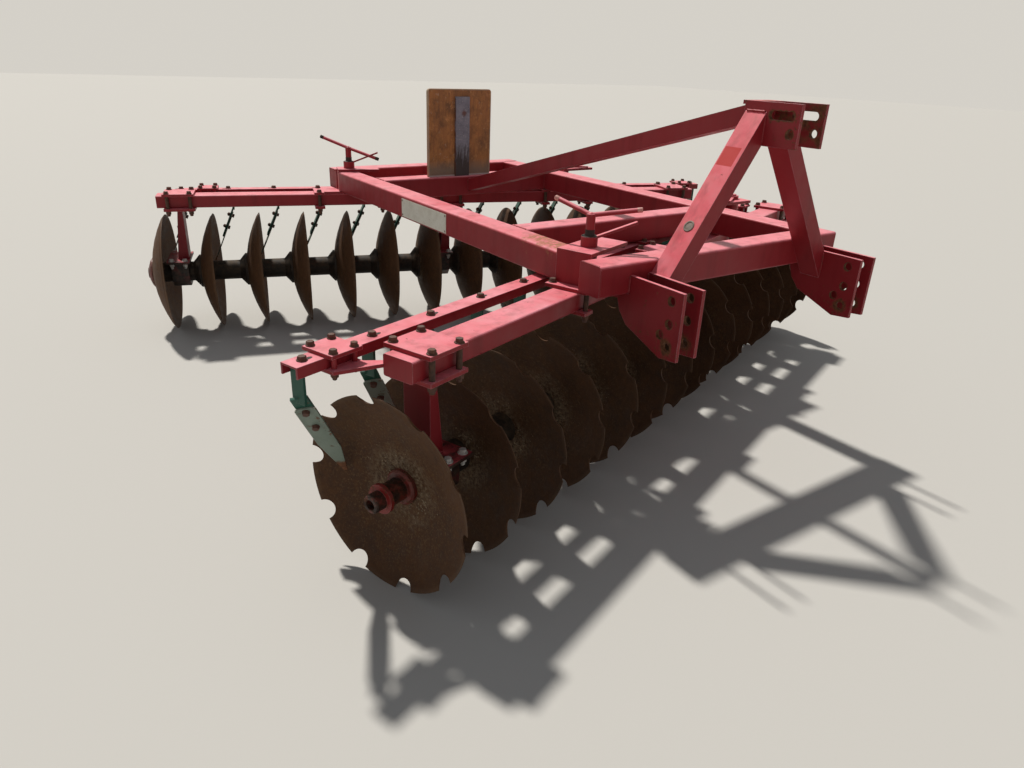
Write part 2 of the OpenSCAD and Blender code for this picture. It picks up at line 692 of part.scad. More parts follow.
place() rear_axle();
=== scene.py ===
import json
import math
import random

import bmesh
import bpy
from mathutils import Matrix, Vector


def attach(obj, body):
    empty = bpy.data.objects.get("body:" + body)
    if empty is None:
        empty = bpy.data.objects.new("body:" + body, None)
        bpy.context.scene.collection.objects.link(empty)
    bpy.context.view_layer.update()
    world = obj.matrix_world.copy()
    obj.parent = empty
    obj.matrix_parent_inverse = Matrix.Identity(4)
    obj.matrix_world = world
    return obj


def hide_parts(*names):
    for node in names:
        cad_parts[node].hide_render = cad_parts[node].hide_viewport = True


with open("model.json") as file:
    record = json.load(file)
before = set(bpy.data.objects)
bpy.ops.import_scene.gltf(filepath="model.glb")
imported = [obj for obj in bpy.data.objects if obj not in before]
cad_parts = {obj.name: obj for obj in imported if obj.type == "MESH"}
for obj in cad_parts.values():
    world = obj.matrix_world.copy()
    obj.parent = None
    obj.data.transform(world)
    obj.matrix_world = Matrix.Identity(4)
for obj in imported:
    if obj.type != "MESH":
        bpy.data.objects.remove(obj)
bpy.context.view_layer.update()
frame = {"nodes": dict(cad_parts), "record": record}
nodes = frame["nodes"]
random.seed(7)

MM = 0.001
THREAD_PITCH = 0.003
PLY_PITCH = 0.0036
TURN = 2 * math.pi
QUARTER = math.pi / 2

# Sizes shared with the solids, in millimetres
DISC_R = {"front": 290, "rear": 295}
DISC_FLAT = 88
DISC_DISH = 75
DISC_T = 6
DISC_GAP = 230
DISC_COUNT = 14
SPAN = (DISC_COUNT - 1) * DISC_GAP
BEAM_TOP = 702
BEAM_BOTTOM = 642
CLAMP_T = 12
FRAME_BOTTOM = BEAM_TOP + CLAMP_T
TUBE_W = 100
FRAME_TOP = FRAME_BOTTOM + TUBE_W
JAW_T = 12
RIGHT_FACE = 621
LEFT_FACE = -561
MIDDLE_Y = -540
BOARD_Y = -1763
REAR_Y = -2186
MID_X = 9.0502
MID_Y = -1196.32825
HUB = {"front": (1318, 43), "rear": (1505, -2475)}
ANGLE = {"front": math.radians(19.9), "rear": math.radians(-17)}
BEAM_SHIFT = {"front": 48, "rear": 42}
BAR_BACK = 160
BAR_H = 30
BAR_T = 5
HANGER_AFTER = (0, 6, 12)
CLAMP_OFF = {"front": 45, "rear": 60}
CLAMP_BOLTS = (-52.5, 52.5)
CLAMP_SIDE = 66
HITCH_X = 10
FORK_X = 445
FORK_W = 91
PLATE_T = 12
CHEEK_W = 130
LOW_HOLE_Z = 595
HOLE_Y = 184
TOP_HOLE_Z = 1202
CHEEK_TOP = 1290
LEG_D = 80
LEG_LEAN = math.radians(34.6)
ARM_X = {"front": 240, "rear": 184}
ARM_BEND_Z = 605
TIP = (45, -185, 295)
BLADE_YAW = {"front": math.radians(38), "rear": 0}
BLADE_T = 5
BOARD_X = 80
BOARD_W = 368
BOARD_T = 18
BOARD_H = 422
BOARD_GAP = 19
PINS_IN = {"front": (109, 159), "rear": (74, 49)}
FOOT_REACH = {("front", 0): (185, 130), ("front", 1): (165, 150),
              ("rear", 0): (185, 190), ("rear", 1): (165, 150)}

# Places of fasteners, welds and marks, in millimetres
STRAP_MID = 25
STUD_R = 8.5
MOUNT_T = 10
MOUNT_BOLTS = (34, 42)
MOUNT_DISCS = (7, 12)
MOUNT_SHIFTS = (5, 6, 65)
FLANGE_X = -105
FLANGE_BOLTS = (32, 96)
FLANGE_TOP = 78
FLANGE_UNDER = 66
POST_PLATES = (-54, -70)
POST_HALF = 44
HOUSING_HALF = 76
HOUSING_WELD = 40
GUSSET_X = (-76, -104)
GUSSET_Y = 50
LOW_HOLE_R = 14.5
LOW_HOLE_STEP = 73
REAR_HOLE_OFF = 32
TOP_HOLE_Y = 176
TOP_HOLE_R = 13
SLOT_Y = (105, 127, 149, 171)
SLOT_UP = 51
SLOT_R = 13
LEG_TOP_Z = 1261
LEG_ON_CHEEK_Z = (1254, 1166)
LEG_ON_FORK_Z = (770, 680)
LEG_ON_BEAM_X = (306, 370)
FORK_TOP_Z = 772
STAY_HALF = 31
STAY_FOOT_Z = (738, 794)
STAY_FOOT_TOP = 799
STAY_FOOT_HALF = 30
STAY_TOP_Z = 1277
STAY_TOP_Y = (-14, 38)
SLEEVE_R = 32
HANDLE_UP = 102
HANDLE_WORN = 16
BAND_UP = 34
PLUG_Z = 920
LEG_TOP_DROP = 30
PLATE_RIVETS_Y = (-1356, -972)
PLATE_RIVETS_Z = (FRAME_BOTTOM + 16, FRAME_TOP - 22)
STICKER_Y = (4, 67)
STICKER_Z = (1099, 1154)
SCUFF_AT = (RIGHT_FACE - 70, -330, FRAME_TOP)
POST_SPOT = (64, 0, 1122)
POST_RIGHT_X = (108, 112)
ARM_T = 8
ARM_BOLT_IN = 20
BAR_SLOT_IN = 15
BAR_SLOT_R = 7
BAR_SLOT_STRETCH = 2.2
BLADE_BOLTS = (44, 116)
BOARD_CORNER = 16
BOARD_CORNER_STEPS = 6
BOARD_FOOT_EASE = 2
BOARD_EASE = 1.2

# Soil on the hubs: lumps to a disc, how far out they lie, their radius, and their spread in radians
SOIL_LUMPS = 130
SOIL_START = 56
SOIL_NEAR = 100
SOIL_FAR = 140
SOIL_LUMP_R = (1.2, 4.2)
SOIL_FAR_SHRINK = 0.6
SOIL_SPREAD = 0.6
SOIL_FIRST_TURN = 0.75 * math.pi

# Welds: radius, how far a run stops short of a corner, and the height of the runs on top
FILLET = 4
THIN_FILLET = 3.5
POST_FILLET = 4.5
SHORT = 6
CAP_SHORT = 8
WELD_Z = FRAME_TOP - 1

# Turn and rise in degrees, and length, of each arm of the right pivots' handles
HANDLE_ARMS = {"front": ((-94, 14, 150), (125, 8, 165)), "rear": ((-20, 20, 150), (160, -18, 165))}

# Bolt heads and nuts, each as width across flats, height and washer radius
CLAMP_HEAD = (20, 10, 14)
CLAMP_NUT = (22, 13, 15)
MOUNT_HEAD = (18, 9, 12)
MOUNT_NUT = (18, 10, 12)
SCRAPER_HEAD = (20, 9, 14)
SCRAPER_NUT = (20, 10, 13)
BLADE_HEAD = (17, 7, 10)
BLADE_NUT = (17, 8, 10)
FLANGE_HEAD = (20, 10, 15)
FLANGE_NUT = (20, 12, 14)


def spot(x, y, z):
    """A point in metres, from millimetres to the right, ahead of the front crossbeam, and up."""
    return Vector(((x - MID_X) * MM, (y - MID_Y) * MM, z * MM))


def gang_matrix(which):
    """The gang's frame: X to the end with the hollow disc, origin on the ground under that hub."""
    place = Matrix.Translation(spot(*HUB[which], 0)) @ Matrix.Rotation(ANGLE[which], 4, "Z")
    if which == "front":
        return place
    return place @ Matrix.Translation((-SPAN * MM, 0, 0)) @ Matrix.Scale(-1, 4, (1, 0, 0))


GANG = {which: gang_matrix(which) for which in HUB}


def on_gang(which, x, y, z):
    """A place in the gang's frame, where lengths are in millimetres."""
    return GANG[which] @ Matrix.Translation((x * MM, y * MM, z * MM)) @ Matrix.Scale(MM, 4)


def on_frame(x, y, z):
    """A place on the frame, where lengths are in millimetres."""
    return Matrix.Translation(spot(x, y, z)) @ Matrix.Scale(MM, 4)


# Camera at the photograph's viewing angle
CAMERA_SPOT = (2067.95, 1619.18, 1378.17)
CAMERA_BACK = (0.52295397, 0.74874918, 0.40730063)
CAMERA_RIGHT = (-0.82848845, 0.55881861, 0.03645058)
CAMERA_UP = (-0.20031483, -0.35650585, 0.91256646)
FOCAL_PIXELS = 726.087
FRAME_PIXELS = 1024
SENSOR = 36

camera_data = bpy.data.cameras.new("camera")
camera_data.sensor_width = SENSOR
camera_data.lens = FOCAL_PIXELS / FRAME_PIXELS * SENSOR
camera = bpy.data.objects.new("camera", camera_data)
axes = Matrix((CAMERA_RIGHT, CAMERA_UP, CAMERA_BACK)).transposed().to_4x4()
camera.matrix_world = Matrix.Translation(spot(*CAMERA_SPOT)) @ axes
bpy.context.scene.collection.objects.link(camera)
bpy.context.scene.camera = camera


class Shader:
    """A material with short calls for its nodes."""

    def __init__(self, name, roughness=0.6, metallic=0.0):
        self.material = bpy.data.materials.new(name)
        self.material.use_nodes = True
        self.tree = self.material.node_tree
        self.bsdf = self.tree.nodes["Principled BSDF"]
        self.bsdf.inputs["Roughness"].default_value = roughness
        self.bsdf.inputs["Metallic"].default_value = metallic
        self.coords = self.tree.nodes.new("ShaderNodeTexCoord").outputs["Object"]

    def put(self, socket, value):
        if isinstance(value, bpy.types.NodeSocket):
            self.tree.links.new(value, socket)
        elif isinstance(value, (int, float)) and socket.type == "RGBA":
            socket.default_value = (value, value, value, 1)
        elif socket.type == "RGBA" and len(value) == 3:
            socket.default_value = (*value, 1)
        else:
            socket.default_value = value

    def noise(self, scale, detail=6, rough=0.6, stretch=None, at=None):
        vector = at or self.coords
        if stretch:
            node = self.tree.nodes.new("ShaderNodeMapping")
            self.put(node.inputs["Vector"], vector)
            node.inputs["Scale"].default_value = stretch
            vector = node.outputs["Vector"]
        node = self.tree.nodes.new("ShaderNodeTexNoise")
        self.put(node.inputs["Vector"], vector)
        node.inputs["Scale"].default_value = scale
        node.inputs["Detail"].default_value = detail
        node.inputs["Roughness"].default_value = rough
        return node.outputs["Fac"]

    def ramp(self, value, low, high, first=0.0, last=1.0):
        node = self.tree.nodes.new("ShaderNodeMapRange")
        self.put(node.inputs["Value"], value)
        node.inputs["From Min"].default_value = low
        node.inputs["From Max"].default_value = high
        node.inputs["To Min"].default_value = first
        node.inputs["To Max"].default_value = last
        return node.outputs["Result"]

    def math(self, kind, a, b=0.0):
        node = self.tree.nodes.new("ShaderNodeMath")
        node.operation = kind
        self.put(node.inputs[0], a)
        self.put(node.inputs[1], b)
        return node.outputs[0]

    def vector(self, kind, a, b=(0, 0, 0), out=0):
        node = self.tree.nodes.new("ShaderNodeVectorMath")
        node.operation = kind
        self.put(node.inputs[0], a)
        self.put(node.inputs[1], b)
        return node.outputs[out]

    def mix(self, factor, a, b):
        node = self.tree.nodes.new("ShaderNodeMix")
        node.data_type = "RGBA"
        self.put(node.inputs["Factor"], factor)
        self.put(node.inputs["A"], a)
        self.put(node.inputs["B"], b)
        return node.outputs["Result"]

    def part(self, vector, axis):
        node = self.tree.nodes.new("ShaderNodeSeparateXYZ")
        self.put(node.inputs[0], vector)
        return node.outputs[axis]

    def tilted(self):
        """Coordinates turned half upright, for slanting scratches."""
        node = self.tree.nodes.new("ShaderNodeMapping")
        self.put(node.inputs["Vector"], self.coords)
        node.inputs["Rotation"].default_value = (0, math.radians(38), 0)
        return node.outputs["Vector"]

    def normal(self):
        return self.tree.nodes.new("ShaderNodeNewGeometry").outputs["Normal"]

    def distance(self, point, keep=(1, 1, 1)):
        """Distance from a point in metres, along the kept axes only."""
        away = self.vector("SUBTRACT", self.coords, tuple(point))
        return self.vector("LENGTH", self.vector("MULTIPLY", away, keep), out=1)

    def inside(self, value, low, high, soft=0.001):
        rise = self.ramp(value, low - soft, low + soft)
        return self.math("MULTIPLY", rise, self.ramp(value, high + soft, high - soft))

    def edge(self, radius):
        """One along the sharp edges of the solids, and nought on their flats."""
        node = self.tree.nodes.new("ShaderNodeBevel")
        node.samples = 4
        node.inputs["Radius"].default_value = radius
        turned = self.vector("DOT_PRODUCT", node.outputs["Normal"], self.normal(), out=1)
        self.rounded = node.outputs["Normal"]
        return self.ramp(turned, 0.995, 0.90)

    def colour(self, value):
        self.put(self.bsdf.inputs["Base Color"], value)

    def sheen(self, level):
        self.bsdf.inputs["Specular IOR Level"].default_value = level

    def rough(self, value):
        self.put(self.bsdf.inputs["Roughness"], value)

    def bump(self, height, distance, strength=1.0):
        node = self.tree.nodes.new("ShaderNodeBump")
        self.put(node.inputs["Height"], height)
        node.inputs["Distance"].default_value = distance
        node.inputs["Strength"].default_value = strength
        if hasattr(self, "rounded"):
            self.put(node.inputs["Normal"], self.rounded)
        self.put(self.bsdf.inputs["Normal"], node.outputs["Normal"])


# Colours and the levels of the light
# Reds of the paint: the deep red is partly painted shade on side faces; the middle and faded reds are
# partly real fading and partly painted sunlight and sheen on upward faces
RED_DEEP = (0.245, 0.0075, 0.0120)
RED_MIDDLE = (0.77, 0.132, 0.165)
RED_FADED_AND_SUNLIT = (0.87, 0.320, 0.375)
GREEN = (0.010, 0.075, 0.050)
FLOOR_COLOUR = (0.56, 0.545, 0.515)
BACKDROP_COLOUR = (0.662, 0.633, 0.579)
SKY_COLOUR = (0.84, 0.88, 0.94)
SKY_LEVEL = 0.23
SUN_COLOUR = (1.0, 0.965, 0.90)
SUN_LEVEL = 3.6
SUN_ANGLE = math.radians(3)
SUN_FROM = (0.0, -0.562, 0.827)
# Faded weld red, partly painted sunlight on upward faces
WELD_FADED_AND_SUNLIT = (0.55, 0.10, 0.12)
UNFADED = (0.50, 0.016, 0.014)
SCUFF = (0.36, 0.135, 0.055)
# Darker red: painted shade on the hangers' upward faces under the beams
RED_SHADED_UNDER_BEAMS = (0.36, 0.016, 0.020)
DISC_DARK = (0.046, 0.019, 0.009)
DISC_BROWN = (0.086, 0.038, 0.017)
DISC_ORANGE = (0.108, 0.050, 0.022)
DISC_STAIN = (0.030, 0.016, 0.010)
DISC_SPECK = (0.26, 0.175, 0.085)
DISC_RIM = (0.20, 0.13, 0.08)
HOUSING_DARK = (0.020, 0.014, 0.012)
HOUSING_DUSTY = (0.085, 0.055, 0.036)
TUBE_DARK = (0.022, 0.010, 0.007)
TUBE_RUSTY = (0.075, 0.034, 0.020)
WOOD_BROWN = (0.34, 0.125, 0.035)
WOOD_ORANGE = (0.56, 0.245, 0.075)
WOOD_GRAIN = (0.18, 0.070, 0.025)
WOOD_STAIN = (0.12, 0.065, 0.035)
WOOD_CHIP = (0.56, 0.42, 0.28)
WOOD_MOTTLE = (0.13, 0.062, 0.028)
WOOD_BRIGHT = (0.68, 0.33, 0.115)
WOOD_SCRATCH = (0.075, 0.035, 0.02)
WOOD_GREY = (0.24, 0.19, 0.15)
WOOD_FOOT = (0.66, 0.62, 0.58)
WOOD_WORN = (0.55, 0.45, 0.33)
PLY_DARK = (0.20, 0.11, 0.055)
PLY_PALE = (0.50, 0.38, 0.24)
POST_GREY = (0.15, 0.15, 0.19)
POST_PALE = (0.30, 0.30, 0.35)
POST_FLECK = (0.48, 0.47, 0.47)
POST_RUST = (0.13, 0.040, 0.025)
POST_DAMP = (0.030, 0.017, 0.014)
POST_EDGE = (0.10, 0.035, 0.022)
PLATE_WHITE = (0.74, 0.71, 0.63)
PLATE_YELLOWED = (0.46, 0.40, 0.30)
PLATE_SPECK = (0.16, 0.09, 0.05)
RUST_DARK = (0.075, 0.026, 0.012)
RUST_LIGHT = (0.20, 0.080, 0.032)
DRY_SOIL = (0.30, 0.22, 0.14)

# Heights and places where looks change, in metres
FORK_RUST_Z = (0.66, 0.56)
# Heights where the painted shade under the beams sets in
SHADE_UNDER_BEAMS_Z = (0.60, 0.57)
TIP_RUST_Z = (0.345, 0.330)
DAMP_Z = (0.97, 0.90)
COLLAR_END = 0.0215
TUBE_END = 0.0795
NUT_START = 0.0935


def paint(name, deep, faded_and_sunlit, rust_at=0.66, dust=0.2, edges=0.6, extra=None, middle=None):
    """Farm paint: upward faces faded and painted as sunlit, side faces painted as shade, chalky patches,
    edges rubbed and painted as highlights, chips of rust and dust.
    """
    s = Shader(name)
    up = s.ramp(s.part(s.normal(), "Z"), 0.05, 0.7)
    large = s.noise(2.2, 4)
    patches = s.noise(14, 8, 0.65)
    grain = s.noise(160, 6, 0.7)
    # Upward faces take the faded colour, partly real fading and partly painted sunlight and sheen; side
    # faces keep the deep colour as painted shade
    fade_and_sunlight = s.math("MULTIPLY", s.ramp(large, 0.3, 0.7, 0.7, 1.0), s.ramp(up, 0, 1, 0.06, 1.0))
    fade_and_sunlight = s.math("MULTIPLY", fade_and_sunlight, s.ramp(patches, 0.3, 0.7, 0.86, 1.12))
    middle = middle or [0.4 * a + 0.6 * b for a, b in zip(deep, faded_and_sunlit)]
    colour = s.mix(s.ramp(fade_and_sunlight, 0, 0.6), deep, middle)
    colour = s.mix(s.ramp(fade_and_sunlight, 0.6, 1.0), colour, faded_and_sunlit)
    streak = s.noise(7, 6, 0.6, stretch=(3.0, 3.0, 0.35))
    colour = s.mix(s.ramp(streak, 0.5, 0.8, 0, 0.5), colour, [0.45 * v for v in deep])
    dirt = s.math("MULTIPLY", s.ramp(s.noise(26, 8, 0.7), 0.45, 0.75), s.ramp(up, 0, 1, 0.12, 1.0))
    colour = s.mix(s.math("MULTIPLY", dirt, dust), colour, DRY_SOIL)
    edge = s.edge(0.0030)
    # Edges turn lighter: partly rubbed paint, partly painted highlights along the edges
    rubbed_and_highlit = s.math("MULTIPLY", edge, s.ramp(patches, 0.32, 0.55, 0.10, 0.6))
    colour = s.mix(rubbed_and_highlit, colour, [min(1.0, 0.8 * v + 0.10) for v in faded_and_sunlit])
    s.sheen(0.3)
    chips = s.ramp(s.noise(38, 10, 0.72), rust_at, rust_at + 0.03)
    scratch = s.ramp(s.noise(9, 9, 0.75, stretch=(1, 1, 4)), rust_at + 0.03, rust_at + 0.06)
    rust = s.math("MAXIMUM", chips, scratch)
    worn = s.math("MULTIPLY", edge, s.ramp(s.noise(30, 8, 0.7), 0.52, 0.60, 0, edges))
    rust = s.math("MAXIMUM", rust, worn)
    if extra:
        rust = s.math("MAXIMUM", rust, extra(s))
    rust_colour = s.mix(s.ramp(s.noise(90, 6), 0.3, 0.7), RUST_DARK, RUST_LIGHT)
    colour = s.mix(rust, colour, rust_colour)
    s.paint_colour = colour
    s.colour(colour)
    s.rough(s.math("ADD", s.ramp(patches, 0.3, 0.7, 0.34, 0.56), s.math("MULTIPLY", rust, 0.35)))
    height = s.math("SUBTRACT", s.math("MULTIPLY", grain, 0.35), s.math("MULTIPLY", rust, 0.8))
    s.bump(s.math("ADD", height, s.math("MULTIPLY", patches, 0.6)), 0.0009, 0.6)
    return s


def red(name, rust_at=0.66, extra=None):
    """The frame's red paint."""
    return paint(name, RED_DEEP, RED_FADED_AND_SUNLIT, rust_at, extra=extra, middle=RED_MIDDLE)


def holes_rust(holes):
    """Rust round bored holes whose centres are (y, z, radius, reach) in millimetres."""
    def make(s):
        total = None
        for y, z, radius, spread in holes:
            reach = spread * MM
            ragged = s.ramp(s.noise(45, 9, 0.75), 0.3, 0.7, -0.6 * reach, 0.6 * reach)
            away = s.distance(spot(0, y, z), (0, 1, 1))
            ring = s.ramp(s.math("ADD", away, ragged), radius * MM + reach, radius * MM + 0.3 * reach)
            total = ring if total is None else s.math("MAXIMUM", total, ring)
        return total
    return make


def fork_rust(s):
    """Rust round the forks' holes and speckled over their low ends."""
    holes = [(HOLE_Y, LOW_HOLE_Z + step * LOW_HOLE_STEP, LOW_HOLE_R, reach)
             for step, reach in enumerate((17, 3, 3))]
    holes.append((HOLE_Y - REAR_HOLE_OFF, LOW_HOLE_Z + REAR_HOLE_OFF, LOW_HOLE_R, 3))
    rust = holes_rust(holes)(s)
    low = s.ramp(s.part(s.coords, "Z"), *FORK_RUST_Z)
    specks = s.ramp(s.noise(70, 9, 0.75), 0.54, 0.60)
    return s.math("MAXIMUM", rust, s.math("MULTIPLY", low, specks))


def cheek_rust(s):
    """Rust round the cheeks' slot and hole, between the cheeks, and towards their front edges."""
    slot = [(y, TOP_HOLE_Z + SLOT_UP, SLOT_R, 7) for y in SLOT_Y]
    rust = holes_rust([(TOP_HOLE_Y, TOP_HOLE_Z, TOP_HOLE_R, 5)] + slot)(s)
    across = s.math("ABSOLUTE", s.math("SUBTRACT", s.part(s.coords, "X"), spot(HITCH_X, 0, 0).x))
    inner_face = (CHEEK_W / 2 - PLATE_T) * MM
    between = s.ramp(across, inner_face + 0.0008, inner_face + 0.0002)
    patches = s.ramp(s.noise(34, 9, 0.72), 0.44, 0.56, 0.1, 1.0)
    rust = s.math("MAXIMUM", rust, s.math("MULTIPLY", between, patches))
    front = s.ramp(s.part(s.coords, "Y"), spot(0, 120, 0).y, spot(0, 205, 0).y)
    specks = s.ramp(s.noise(60, 9, 0.75), 0.56, 0.60)
    return s.math("MAXIMUM", rust, s.math("MULTIPLY", front, specks))


def hanger_look(which):
    """Red post on a housing of black iron, with the paint thin over it, and painted shade on upward faces
    low under the beams.
    """
    s = red("hanger_red_" + which)
    z = s.math("ADD", s.part(s.coords, "Z"), s.ramp(s.noise(30, 8, 0.7), 0.3, 0.7, -0.004, 0.004))
    flange_z = DISC_R[which] + FLANGE_TOP
    low = s.ramp(z, (flange_z + 1) * MM, (flange_z - 2) * MM)
    thin = s.ramp(s.noise(18, 9, 0.72), 0.50, 0.62, 1.0, 0.7)
    iron = s.mix(s.ramp(s.noise(40, 9, 0.7), 0.45, 0.7), HOUSING_DARK, HOUSING_DUSTY)
    # Upward faces low under the beams turn darker red: painted shade
    up = s.ramp(s.part(s.normal(), "Z"), 0.05, 0.7, 0, 0.8)
    shaded_under_beams = s.math("MULTIPLY", s.ramp(z, *SHADE_UNDER_BEAMS_Z), up)
    painted = s.mix(shaded_under_beams, s.paint_colour, RED_SHADED_UNDER_BEAMS)
    s.colour(s.mix(s.math("MULTIPLY", low, thin), painted, iron))
    return s.material


def blade_tips(s):
    """Blades worn to bare, rusty steel at their tips."""
    z = s.math("ADD", s.part(s.coords, "Z"), s.ramp(s.noise(40, 8, 0.7), 0.3, 0.7, -0.012, 0.012))
    return s.ramp(z, *TIP_RUST_Z)


def rail_scuffs(s):
    """Paint rubbed to brown on the right rail's top, behind the front pivot."""
    near = s.distance(spot(*SCUFF_AT), (1, 0.42, 1))
    near = s.math("ADD", near, s.ramp(s.noise(16, 9, 0.75), 0.3, 0.7, -0.035, 0.035))
    return s.math("MULTIPLY", s.ramp(near, 0.075, 0.055), s.ramp(s.noise(60, 9, 0.75), 0.42, 0.54))


def leg_marks(s):
    """A patch of unfaded paint where a sticker was."""
    low, high = [z * MM for z in STICKER_Z]
    back, front = [spot(0, y, 0).y for y in STICKER_Y]
    mark = s.inside(s.part(s.coords, "Z"), low, high)
    mark = s.math("MULTIPLY", mark, s.inside(s.part(s.coords, "Y"), back, front))
    return s.math("MULTIPLY", mark, s.ramp(s.part(s.normal(), "X"), 0.6, 0.7))


def axle_terms(s, which):
    """The way from the near hub's centre, in metres, and the axle's direction."""
    matrix = GANG[which]
    along = (matrix.to_3x3() @ Vector((1, 0, 0))).normalized()
    start = matrix @ Vector((0, 0, DISC_R[which] * MM))
    return s.vector("SUBTRACT", s.coords, tuple(start)), tuple(along)


def from_axle(s, which):
    """Distance from the gang's axle, in metres."""
    return s.vector("LENGTH", s.vector("CROSS_PRODUCT", *axle_terms(s, which)), out=1)


def rusty_disc(which):
    """Rolled steel gone rust-brown, gritty near the hub and worn paler at the rim."""
    s = Shader("rusty_disc_" + which, 0.75)
    s.sheen(0.2)
    rim = DISC_R[which] * MM
    r = from_axle(s, which)
    large = s.noise(5, 6)
    patches = s.noise(26, 10, 0.7)
    grain = s.noise(260, 6, 0.7)
    colour = s.mix(s.ramp(large, 0.3, 0.7), DISC_DARK, DISC_BROWN)
    colour = s.mix(s.ramp(patches, 0.42, 0.66, 0, 0.7), colour, DISC_ORANGE)
    colour = s.mix(s.ramp(s.noise(70, 8, 0.7), 0.5, 0.72, 0, 0.6), colour, DISC_STAIN)
    spread = s.math("ADD", r, s.ramp(patches, 0, 1, -0.04, 0.04))
    specks = s.ramp(s.noise(150, 6, 0.75), 0.53, 0.62)
    far = s.math("MULTIPLY", s.ramp(spread, rim, 0.10, 0.10, 0.45), specks)
    colour = s.mix(far, colour, DISC_SPECK)
    grit = s.math("MULTIPLY", s.ramp(spread, 0.135, 0.085), s.ramp(s.noise(95, 8, 0.75), 0.42, 0.6))
    grit = s.math("MULTIPLY", grit, s.ramp(s.noise(7, 3, 0.5), 0.40, 0.56, 0.15, 1.0))
    colour = s.mix(s.math("MULTIPLY", grit, 0.75), colour, DRY_SOIL)
    ragged = s.math("ADD", r, s.ramp(patches, 0, 1, -0.010, 0.010))
    worn = s.ramp(ragged, rim - 0.014, rim - 0.003, 0, 0.2)
    colour = s.mix(worn, colour, DISC_RIM)
    s.colour(colour)
    s.rough(s.math("SUBTRACT", s.ramp(patches, 0.3, 0.7, 0.55, 0.85), s.math("MULTIPLY", worn, 0.3)))
    ridges = s.math("ADD", s.math("MULTIPLY", grain, 0.4), patches)
    s.bump(s.math("ADD", ridges, s.math("MULTIPLY", grit, 1.6)), 0.0012, 0.8)
    return s.material


def axle_look(which):
    """Red paint left on the collar and the ring, dark iron on the tube, the nut and the shaft."""
    s = paint("axle_red_" + which, (0.22, 0.014, 0.012), (0.34, 0.06, 0.05), 0.55, 0.35)
    x = s.vector("DOT_PRODUCT", *axle_terms(s, which), out=1)
    tube = s.inside(x, COLLAR_END, TUBE_END, 0.0015)
    collar = s.inside(x, 0.0, COLLAR_END, 0.0005)
    nut = s.ramp(x, NUT_START, NUT_START + 0.001)
    bumper = s.ramp(x, -SPAN * MM, -SPAN * MM - 0.002)
    dark = s.math("MAXIMUM", s.math("MAXIMUM", tube, nut), s.math("MULTIPLY", bumper, 0.75))
    dark = s.math("MAXIMUM", dark, s.math("MULTIPLY", collar, 0.6))
    patches = s.noise(34, 9, 0.72)
    thin = s.ramp(patches, 0.50, 0.64, 1.0, 0.35)
    iron = s.mix(s.ramp(patches, 0.4, 0.65), TUBE_DARK, TUBE_RUSTY)
    s.colour(s.mix(s.math("MULTIPLY", dark, thin), s.paint_colour, iron))
    return s.material


def dark_iron(name, base, dusty, amount=0.5):
    """Cast or forged iron, nearly black, with dry soil on it."""
    s = Shader(name, 0.7)
    s.sheen(0.25)
    patches = s.noise(30, 9, 0.7)
    up = s.ramp(s.part(s.normal(), "Z"), -0.2, 1.0, 0.25, 1.0)
    soil = s.math("MULTIPLY", s.ramp(patches, 0.4, 0.68, 0, amount * 2), up)
    s.colour(s.mix(soil, base, dusty))
    s.rough(s.ramp(patches, 0.3, 0.7, 0.5, 0.9))
    s.bump(s.math("ADD", s.noise(220, 5, 0.7), s.math("MULTIPLY", patches, 1.5)), 0.0012, 0.7)
    return s.material


def rusty_metal(name, low, high, roughness=(0.5, 0.9)):
    """Rough metal or dry soil, mottled between two colours."""
    s = Shader(name, 0.85)
    patches = s.noise(60, 9, 0.7)
    s.colour(s.mix(s.ramp(patches, 0.35, 0.65), low, high))
    s.rough(s.ramp(patches, 0.3, 0.7, *roughness))
    s.bump(s.noise(400, 5, 0.7), 0.0006, 0.8)
    return s.material


def threaded(name, low, high):
    """Round bar with a rolled thread."""
    s = Shader(name, 0.7)
    patches = s.noise(60, 9, 0.7)
    s.colour(s.mix(s.ramp(patches, 0.35, 0.65), low, high))
    turns = s.math("SINE", s.math("MULTIPLY", s.part(s.coords, "Z"), TURN / THREAD_PITCH))
    s.bump(s.math("ADD", turns, patches), 0.0006, 0.8)
    return s.material


